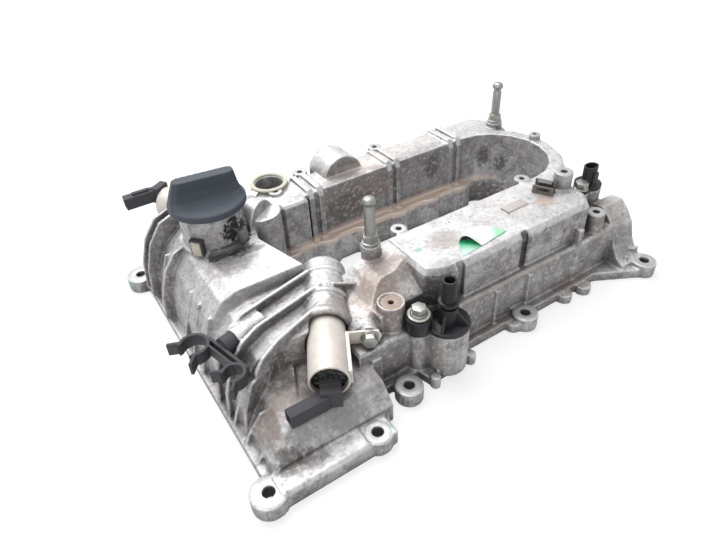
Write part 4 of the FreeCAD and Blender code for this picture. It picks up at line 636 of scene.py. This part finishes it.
def make_materials(settings):
    fitting = settings.fitting
    casting_material(settings.casting)
    plain_finish("machined_aluminium", (0.50, 0.50, 0.52), metallic=0.7, roughness=0.42, grain=500.0,
                 relief=0.15)
    plain_finish("stamped_plate", (0.48, 0.44, 0.42), metallic=0.3, grain=500.0, worn_and_lit=0.3, grime_and_shade=0.5)
    plain_finish("dusty_face", (0.36, 0.28, 0.24), metallic=0.3, grain=500.0, worn_and_lit=0.3)
    # The filler cap's lighter edges are mostly painted highlights on its grip and top, with some wear.
    plain_finish("cap_plastic", fitting.cap_colour, roughness=0.40, grain=1500.0, worn_and_lit=0.8, grime_and_shade=0.1,
                 gloss=0.2)
    plain_finish("cream_tab", (0.62, 0.57, 0.44), grime_and_shade=0.45)
    plain_finish("grey_tab", (0.16, 0.16, 0.17), metallic=0.4, roughness=0.4, worn_and_lit=0.6, grime_and_shade=0.4)
    plain_finish("can_plating", fitting.can_colour, metallic=0.1, roughness=0.42, grain=700.0, relief=0.15,
                 worn_and_lit=0.2, grime_and_shade=0.42, grime_and_shade_colour=(0.22, 0.155, 0.10))
    plain_finish("connector_plastic", fitting.clip_colour, roughness=0.40, grain=1400.0, worn_and_lit=0.5,
                 grime_and_shade=0.12)
    plain_finish("potting", (0.012, 0.012, 0.013), roughness=0.32, grain=260.0, relief=1.0, worn_and_lit=0.0,
                 grime_and_shade=0.1)
    plain_finish("zinc_plating", fitting.zinc_colour, metallic=0.85, roughness=0.36, grain=800.0,
                 relief=0.15, worn_and_lit=0.25, grime_and_shade=0.45)
    plain_finish("breather_plastic", (0.012, 0.012, 0.016), roughness=0.34, grain=1500.0, relief=0.15,
                 worn_and_lit=0.5, grime_and_shade=0.12, grime_and_shade_colour=(0.10, 0.085, 0.07), gloss=0.3)
    plain_finish("seal_rubber", (0.02, 0.02, 0.02), roughness=0.6, worn_and_lit=0.0, grime_and_shade=0.2)
    plain_finish("port_rubber", (0.58, 0.56, 0.44), roughness=0.55, grain=700.0, relief=0.3, worn_and_lit=0.0,
                 grime_and_shade=0.5)
    plain_finish("valve_steel", (0.5, 0.49, 0.46), metallic=0.9, roughness=0.3, grain=500.0, relief=0.1,
                 worn_and_lit=0.2)
    plain_finish("baffle_steel", (0.42, 0.41, 0.38), metallic=0.85, roughness=0.42, grain=500.0,
                 relief=0.15, worn_and_lit=0.2, grime_and_shade=0.5)
    plain_finish("spring_steel", (0.13, 0.125, 0.12), metallic=0.7, roughness=0.38, grain=700.0, relief=0.3,
                 worn_and_lit=0.5, grime_and_shade=0.35, grime_and_shade_colour=(0.09, 0.045, 0.015))
    film_material("green_film", fitting.tape_colour, ((203, -87, 80), (12, 9, 8), 0.6, (0.70, 0.96, 0.84)))
    # The white patch on the folded sheet is painted glare on its silvery side; the lighter green patch
    # leads into it.
    film_material("bleached_film", fitting.tape_colour,
                  ((240, -76, 80), (16, 14, 8), 0.5, (0.36, 0.86, 0.50)),
                  ((220, -66, 82), (24.5, 22, 30), 0.12, (0.90, 0.91, 0.90)))


# Pieces. Their sizes and places are in millimetres.

# The skin below this height lies on the gasket face.
FOOT_HEIGHT = 0.9


class VALVECOVER_OT_casting(bpy.types.Operator):
    """Cast skin of the cover, with rounded edges and a flat gasket face"""
    bl_idname = "valve_cover.casting"
    bl_label = "Casting"

    def execute(self, context):
        settings = context.scene.valve_cover.casting
        skin = copy_node("cover_casting", "casting_skin")
        rebuild_skin(skin, settings.grain, settings.rounding, settings.budget)
        for vertex in skin.data.vertices:
            if vertex.co.z < FOOT_HEIGHT * MM:
                vertex.co.z = 0.0
        finish_piece(skin, material("grimy_cast_aluminium"), "cast_aluminium", "cover_casting")
        return {"FINISHED"}


# Flange bolts: place and outer radius of the machined face.
FLANGE_BOLTS = (
    (0, -138, 11.5), (0, 138, 11.5), (83, -140, 9.6), (83, 140, 9.6), (126, -119, 9.6), (126, 125, 9.6),
    (253, -112, 9.6), (253, 118, 9.6), (392, -125, 9.6), (392, 125, 9.6),
)
FLANGE_HEIGHT = 13
BOLT_HOLE_RADIUS = 4.5

# Machined faces of the bosses: name, centre, inner and outer radius.
BOSS_FACES = (
    ("rear_post", (338.5, -60, 95), 3.1, 7.3), ("window_boss_front", (183, -28, 81), 2.7, 6.6),
    ("window_boss_rear", (320, -30, 81), 2.7, 6.6), ("left_boss_front", (163, 105, 82), 2.7, 6.6),
    ("left_boss_middle", (249, 104, 82), 2.7, 6.6), ("rear_boss", (388, 20, 86), 2.3, 5.1),
    ("side_boss", (352, -91, 64), 3.3, 7.5), ("port_slot", (127, 85, 83), 2.7, 6.1),
    ("front_stud_seat", (150, -36, 85), 4.2, 7.6), ("rear_stud_seat", (379, 69, 85), 4.2, 7.6),
)

FACE_THICKNESS = 0.4
FACE_EDGE = 0.12
FACE_SIDES = 64
SPOT_FACE = ((133.5, -86, 67.5), 2.4, 8.4)
PLATE_SIZE = (23.4, 9.4, 0.8)
PLATE_CENTRE = (282, -59.5, 80.8)
PLATE_EDGE = 0.2


class VALVECOVER_OT_faces(bpy.types.Operator):
    """Machined faces of the bolt bosses and small bosses, and the face of the bare plate"""
    bl_idname = "valve_cover.faces"
    bl_label = "Machined Faces"

    def execute(self, context):
        for number, (x, y, outer) in enumerate(FLANGE_BOLTS, start=1):
            self.face(f"bolt_face_{number}", (x, y, FLANGE_HEIGHT), BOLT_HOLE_RADIUS, outer)
        for name, centre, inner, outer in BOSS_FACES:
            self.face(name + "_face", centre, inner, outer)
        self.face("spot_face", *SPOT_FACE, "dusty_face")
        plate = rounded_box("bare_plate_face", PLATE_SIZE, PLATE_EDGE, shift(*PLATE_CENTRE))
        finish_piece(plate, material("stamped_plate"), "cast_aluminium")
        return {"FINISHED"}

    def face(self, name, centre, inner, outer, finish="machined_aluminium"):
        """A thin flat ring."""
        deselect()
        bpy.ops.mesh.primitive_circle_add(vertices=FACE_SIDES, radius=outer * MM, fill_type="NGON")
        piece = bpy.context.object
        piece.name = name
        bpy.ops.object.mode_set(mode="EDIT")
        bpy.ops.mesh.inset(thickness=(outer - inner) * MM)
        bpy.ops.mesh.delete(type="FACE")
        bpy.ops.object.mode_set(mode="OBJECT")
        modify(piece, "SOLIDIFY", thickness=FACE_THICKNESS * MM, offset=0.0)
        bevel(piece, FACE_EDGE)
        piece.data.transform(shift(*centre))
        smooth_by_angle(piece)
        finish_piece(piece, material(finish), "cast_aluminium")


CAP_GRAIN = 0.75
CAP_ROUNDING = 3
CAP_FACETS = 50000


class VALVECOVER_OT_cap(bpy.types.Operator):
    """Oil filler cap with a soft moulded grip"""
    bl_idname = "valve_cover.cap"
    bl_label = "Filler Cap"

    def execute(self, context):
        cap = copy_node("oil_cap", "oil_cap_moulded")
        rebuild_skin(cap, CAP_GRAIN * MM, CAP_ROUNDING, CAP_FACETS)
        finish_piece(cap, material("cap_plastic"), "cap_plastic", "oil_cap", body="filler_cap")
        return {"FINISHED"}


CLIP_SIZE = (5.6, 11.2, 14.5)
CLIP_EDGE = 0.5
CLIP_PLACE = NECK @ turn("Z", -140) @ shift(NECK_RADIUS + 0.7, 0, -22.6)


class VALVECOVER_OT_neck_clip(bpy.types.Operator):
    """Dark clip that holds the cream tab beside the filler neck"""
    bl_idname = "valve_cover.neck_clip"
    bl_label = "Neck Clip"

    def execute(self, context):
        clip = rounded_box("neck_clip_front", CLIP_SIZE, CLIP_EDGE, CLIP_PLACE)
        finish_piece(clip, material("connector_plastic"), "tab_plastic")
        return {"FINISHED"}


POTTING_RADIUS = 12.6
POTTING_HEIGHT = 46.6
POTTING_THICKNESS = 1.6
POTTING_SIDES = 96
POTTING_RINGS = 22
RING_WIDTH = 0.55
CRINKLE_SIZE = 2.2
CRINKLE_DEPTH = 2.4


class VALVECOVER_OT_potting(bpy.types.Operator):
    """Crinkled sealing compound in the open ends of the solenoid cans"""
    bl_idname = "valve_cover.potting"
    bl_label = "Potting"

    def execute(self, context):
        crinkle = bpy.data.textures.new("crinkle", "CLOUDS")
        crinkle.noise_scale = CRINKLE_SIZE * MM
        crinkle.noise_depth = 2
        for side, valve in (("right", RIGHT_VALVE), ("left", LEFT_VALVE)):
            deselect()
            bpy.ops.mesh.primitive_circle_add(
                vertices=POTTING_SIDES, radius=POTTING_RADIUS * MM, fill_type="NGON")
            piece = context.object
            piece.name = f"potting_{side}"
            bpy.ops.object.mode_set(mode="EDIT")
            for _ in range(POTTING_RINGS):
                bpy.ops.mesh.inset(thickness=RING_WIDTH * MM)
            bpy.ops.object.mode_set(mode="OBJECT")
            modify(piece, "TRIANGULATE")
            modify(piece, "DISPLACE", texture=crinkle, strength=CRINKLE_DEPTH * MM, mid_level=0.5)
            modify(piece, "SOLIDIFY", thickness=POTTING_THICKNESS * MM, offset=-1.0)
            piece.data.transform(valve @ shift(0, 0, POTTING_HEIGHT))
            smooth_by_angle(piece, degrees=50)
            finish_piece(piece, material("potting"), "connector_plastic")
        return {"FINISHED"}


# Corners of the green film. It lies flat up to its fold, and the rest is folded over.
FOLD_LEFT = Vector((211, -70, 0))
FOLD_RIGHT = Vector((221, -85.5, 0))
FLAT_NEAR = Vector((201, -87, 0))
FLAT_FAR = Vector((226, -76, 0))
OVER_TIP = Vector((250.5, -82, 0))
OVER_FAR_LEFT = Vector((228, -60, 0))
OVER_FAR_RIGHT = Vector((244.5, -68, 0))

FLAT_HEIGHT = 80.3
OVER_HEIGHT = 80.55
FILM_THICKNESS = 0.12
FILM_GRID = (64, 28)

# The fold: its part of the folded sheet's near edge, and the lift, lean and fade of its arch.
FOLD_SHARE = 0.42
FOLD_LIFT = 6.0
ARCH_LEAN = 0.6
ARCH_FADE = 1.6


class VALVECOVER_OT_film(bpy.types.Operator):
    """Scrap of green film that is folded over and lifts along the fold"""
    bl_idname = "valve_cover.film"
    bl_label = "Film"

    def execute(self, context):
        flat = self.sheet("green_film_scrap", lambda across: FLAT_NEAR.lerp(FOLD_RIGHT, across),
                          lambda across: FOLD_LEFT.lerp(FLAT_FAR, across), FLAT_HEIGHT, lift=0.0)
        finish_piece(flat, material("green_film"), "tape", "tape_scrap")
        folded = self.sheet("green_film_fold", self.folded_edge,
                            lambda across: OVER_FAR_LEFT.lerp(OVER_FAR_RIGHT, across),
                            OVER_HEIGHT, lift=FOLD_LIFT)
        finish_piece(folded, material("bleached_film"), "tape")
        return {"FINISHED"}

    def folded_edge(self, across):
        """The near edge of the folded sheet: along the fold, and from there to the tip."""
        if across < FOLD_SHARE:
            return FOLD_LEFT.lerp(FOLD_RIGHT, across / FOLD_SHARE)
        return FOLD_RIGHT.lerp(OVER_TIP, (across - FOLD_SHARE) / (1 - FOLD_SHARE))

    def sheet(self, name, near, far, height, lift):
        """Thin sheet between two edges, lifted in an arch along the folded part of its near edge."""
        deselect()
        bpy.ops.mesh.primitive_grid_add(x_subdivisions=FILM_GRID[0], y_subdivisions=FILM_GRID[1], size=2)
        film = bpy.context.object
        film.name = name
        for vertex in film.data.vertices:
            across, along = (vertex.co.x + 1) / 2, (vertex.co.y + 1) / 2
            place = near(across).lerp(far(across), along)
            rise = math.sin(math.pi * min(1.0, across / FOLD_SHARE) ** ARCH_LEAN)
            arch = rise * (1 - along) ** ARCH_FADE
            place.z = height + lift * max(0.0, arch)
            vertex.co = place * MM
        modify(film, "SOLIDIFY", thickness=FILM_THICKNESS * MM, offset=0.0)
        smooth_by_angle(film, degrees=60)
        return film


# Solids that get softened edges: node, finish, material slot and the setting of their edge.
SOFTENED = (
    ("neck_tab_front", "cream_tab", "tab_plastic", "edge"),
    ("neck_tab_side", "grey_tab", "tab_plastic", "edge"),
    ("solenoid_can_right", "can_plating", "can_steel", "metal_edge"),
    ("solenoid_can_left", "can_plating", "can_steel", "metal_edge"),
    ("solenoid_bracket_right", "can_plating", "can_steel", "metal_edge"),
    ("solenoid_bracket_left", "can_plating", "can_steel", "metal_edge"),
    ("solenoid_connector_right", "connector_plastic", "connector_plastic", "edge"),
    ("solenoid_connector_left", "connector_plastic", "connector_plastic", "edge"),
    ("solenoid_bolt_right", "zinc_plating", "bolt_steel", "metal_edge"),
    ("solenoid_bolt_left", "zinc_plating", "bolt_steel", "metal_edge"),
    ("breather_fitting", "breather_plastic", "fitting_plastic", "edge"),
    ("breather_bush", "valve_steel", "valve_steel", "metal_edge"),
    ("breather_washer", "zinc_plating", "bolt_steel", "metal_edge"),
    ("breather_bolt", "zinc_plating", "bolt_steel", "metal_edge"),
    ("cam_sensor", "breather_plastic", "fitting_plastic", "edge"),
    ("cam_sensor_bolt", "zinc_plating", "bolt_steel", "metal_edge"),
    ("cover_stud_front", "zinc_plating", "bolt_steel", "metal_edge"),
    ("cover_stud_rear", "zinc_plating", "bolt_steel", "metal_edge"),
    ("port_seal", "port_rubber", "port_rubber", "edge"),
    ("pipe_clip", "connector_plastic", "clip_plastic", "edge"),
    ("harness_clip", "spring_steel", "clip_steel", "metal_edge"),
)

# Solids that stay as they are, by their finish.
KEPT = {
    "seal_rubber": ("perimeter_gasket", "oil_cap_seal", "valve_ring_right", "valve_ring_left",
                    "breather_ring", "cam_sensor_ring"),
    "valve_steel": ("control_valve_right", "control_valve_left"),
    "baffle_steel": ("oil_baffle_right", "oil_baffle_left"),
    "zinc_plating": tuple(f"baffle_screw_{side}_{number}" for side in ("right", "left")
                          for number in range(1, 5)),
}


class VALVECOVER_OT_fittings(bpy.types.Operator):
    """Moulded and plated parts with rounded edges, and the hidden parts"""
    bl_idname = "valve_cover.fittings"
    bl_label = "Fittings"

    def execute(self, context):
        settings = context.scene.valve_cover.fitting
        for node, finish, slot, edge in SOFTENED:
            piece = copy_node(node, node + "_dressed")
            soften(piece, getattr(settings, edge))
            finish_piece(piece, material(finish), slot, node)
        for finish, nodes in KEPT.items():
            for node in nodes:
                dress_node(node, finish)
        return {"FINISHED"}


# The stage, in metres. The camera's axes point right, up and ahead in the picture.
CAMERA_PLACE = (-0.0512, -0.3508, 0.3530)
CAMERA_RIGHT = Vector((0.8364, -0.5463, -0.0447))
CAMERA_UP = Vector((0.3681, 0.4994, 0.7842))
CAMERA_AHEAD = Vector((0.4061, 0.6724, -0.6188))
FLOOR_SIZE = 12.0
FLOOR_PLACE = (0.2, 0.0, -0.2 * MM)
WHITE = (1.0, 1.0, 1.0, 1.0)

# The floor's own white: its strength, its share near the part, and where it grows and is whole.
FLOOR_GLOW = 1.2
NEAR_SHARE = 0.6
GLOW_START = 0.4
GLOW_END = 0.9

# Lamps: name, place, target, size and the setting of their power.
SOFTBOXES = (
    ("key_softbox", (0.15, 0.55, 1.15), (0.2, 0.0, 0.0), 1.1, "key_light"),
    ("fill_softbox", (-0.75, -0.9, 0.75), (0.2, 0.0, 0.05), 0.9, "fill_light"),
)


class VALVECOVER_OT_stage(bpy.types.Operator):
    """Pale floor, white surround, soft lights and the camera"""
    bl_idname = "valve_cover.stage"
    bl_label = "Stage"

    def execute(self, context):
        settings = context.scene.valve_cover.stage
        self.lay_floor()
        self.light_world(context, settings.ambient)
        for name, place, target, size, power in SOFTBOXES:
            self.softbox(name, place, target, size, getattr(settings, power))
        self.place_camera(context, settings.lens)
        context.scene.view_settings.view_transform = "Standard"
        return {"FINISHED"}

    def lay_floor(self):
        """A pale floor that takes the part's shadow, and looks whiter with the distance."""
        deselect()
        bpy.ops.mesh.primitive_plane_add(size=FLOOR_SIZE, location=FLOOR_PLACE)
        floor = bpy.context.object
        floor.name = "floor"
        tree, shader, position = new_material("white_floor")
        shader.inputs["Base Color"].default_value = (0.9, 0.9, 0.9, 1.0)
        shader.inputs["Roughness"].default_value = 0.8
        shader.inputs["Specular IOR Level"].default_value = 0.2
        glow = add(tree, "Emission", {"Color": WHITE, "Strength": FLOOR_GLOW})
        away = add(tree, "VectorMath", {0: position}, operation="LENGTH").outputs["Value"]
        far = remap(tree, away, GLOW_START, GLOW_END, to_low=NEAR_SHARE)
        dimmed = add(tree, "MixShader", {0: far, 1: shader.outputs[0], 2: glow.outputs[0]})
        shown = add(tree, "MixShader", {0: self.seen(tree), 1: shader.outputs[0], 2: dimmed.outputs[0]})
        tree.links.new(shown.outputs[0], tree.nodes["Material Output"].inputs["Surface"])
        floor.data.materials.append(material("white_floor"))

    def light_world(self, context, strength):
        """Even light from all round, seen as plain white."""
        world = bpy.data.worlds.new("studio")
        context.scene.world = world
        world.use_nodes = True
        tree = world.node_tree
        soft = tree.nodes["Background"]
        soft.inputs["Color"].default_value = WHITE
        soft.inputs["Strength"].default_value = strength
        white = add(tree, "Background", {"Color": WHITE, "Strength": 1.0})
        shown = add(tree, "MixShader", {0: self.seen(tree), 1: soft.outputs[0], 2: white.outputs[0]})
        tree.links.new(shown.outputs[0], tree.nodes["World Output"].inputs["Surface"])

    def seen(self, tree):
        """1 for rays from the camera, a mirror or glass, 0 for light that falls on the part."""
        rays = add(tree, "LightPath").outputs
        either = maths(tree, "MAXIMUM", rays["Is Camera Ray"], rays["Is Glossy Ray"])
        return maths(tree, "MAXIMUM", either, rays["Is Transmission Ray"])

    def softbox(self, name, place, target, size, power):
        """A square lamp that shines from its place to a target."""
        lamp = bpy.data.lights.new(name, "AREA")
        lamp.size = size
        lamp.energy = power
        holder = bpy.data.objects.new(name, lamp)
        bpy.context.scene.collection.objects.link(holder)
        holder.location = place
        holder.rotation_mode = "QUATERNION"
        holder.rotation_quaternion = (Vector(target) - Vector(place)).to_track_quat("-Z", "Y")

    def place_camera(self, context, lens):
        camera = bpy.data.cameras.new("camera")
        camera.lens = lens
        camera.clip_start = 0.01
        holder = bpy.data.objects.new("camera", camera)
        context.scene.collection.objects.link(holder)
        turned = Matrix((CAMERA_RIGHT, CAMERA_UP, -CAMERA_AHEAD)).transposed()
        holder.matrix_world = Matrix.Translation(CAMERA_PLACE) @ turned.to_4x4()
        context.scene.camera = holder


class VALVECOVER_PT_panel(bpy.types.Panel):
    """Builds the valve cover piece by piece"""
    bl_idname = "VALVECOVER_PT_panel"
    bl_label = "Valve Cover"
    bl_space_type = "VIEW_3D"
    bl_region_type = "UI"
    bl_category = "Valve Cover"

    def draw(self, context):
        layout = self.layout
        for operator in OPERATORS:
            layout.operator(operator.bl_idname)
        settings = context.scene.valve_cover
        for group in (settings.stage, settings.casting, settings.fitting):
            box = layout.box()
            for name in group.bl_rna.properties.keys():
                if name not in ("rna_type", "name"):
                    box.prop(group, name)


OPERATORS = (VALVECOVER_OT_casting, VALVECOVER_OT_faces, VALVECOVER_OT_cap, VALVECOVER_OT_neck_clip,
             VALVECOVER_OT_potting, VALVECOVER_OT_film, VALVECOVER_OT_fittings, VALVECOVER_OT_stage)
CLASSES = (StageSettings, CastingSettings, FittingSettings, CoverSettings, *OPERATORS, VALVECOVER_PT_panel)


def register():
    for entry in CLASSES:
        bpy.utils.register_class(entry)
    bpy.types.Scene.valve_cover = bpy.props.PointerProperty(type=CoverSettings)


def unregister():
    del bpy.types.Scene.valve_cover
    for entry in reversed(CLASSES):
        bpy.utils.unregister_class(entry)


def main():
    register()
    make_groups()
    make_materials(bpy.context.scene.valve_cover)
    bpy.ops.valve_cover.casting()
    bpy.ops.valve_cover.faces()
    bpy.ops.valve_cover.cap()
    bpy.ops.valve_cover.neck_clip()
    bpy.ops.valve_cover.potting()
    bpy.ops.valve_cover.film()
    bpy.ops.valve_cover.fittings()
    bpy.ops.valve_cover.stage()


if __name__ == "__main__":
    main()
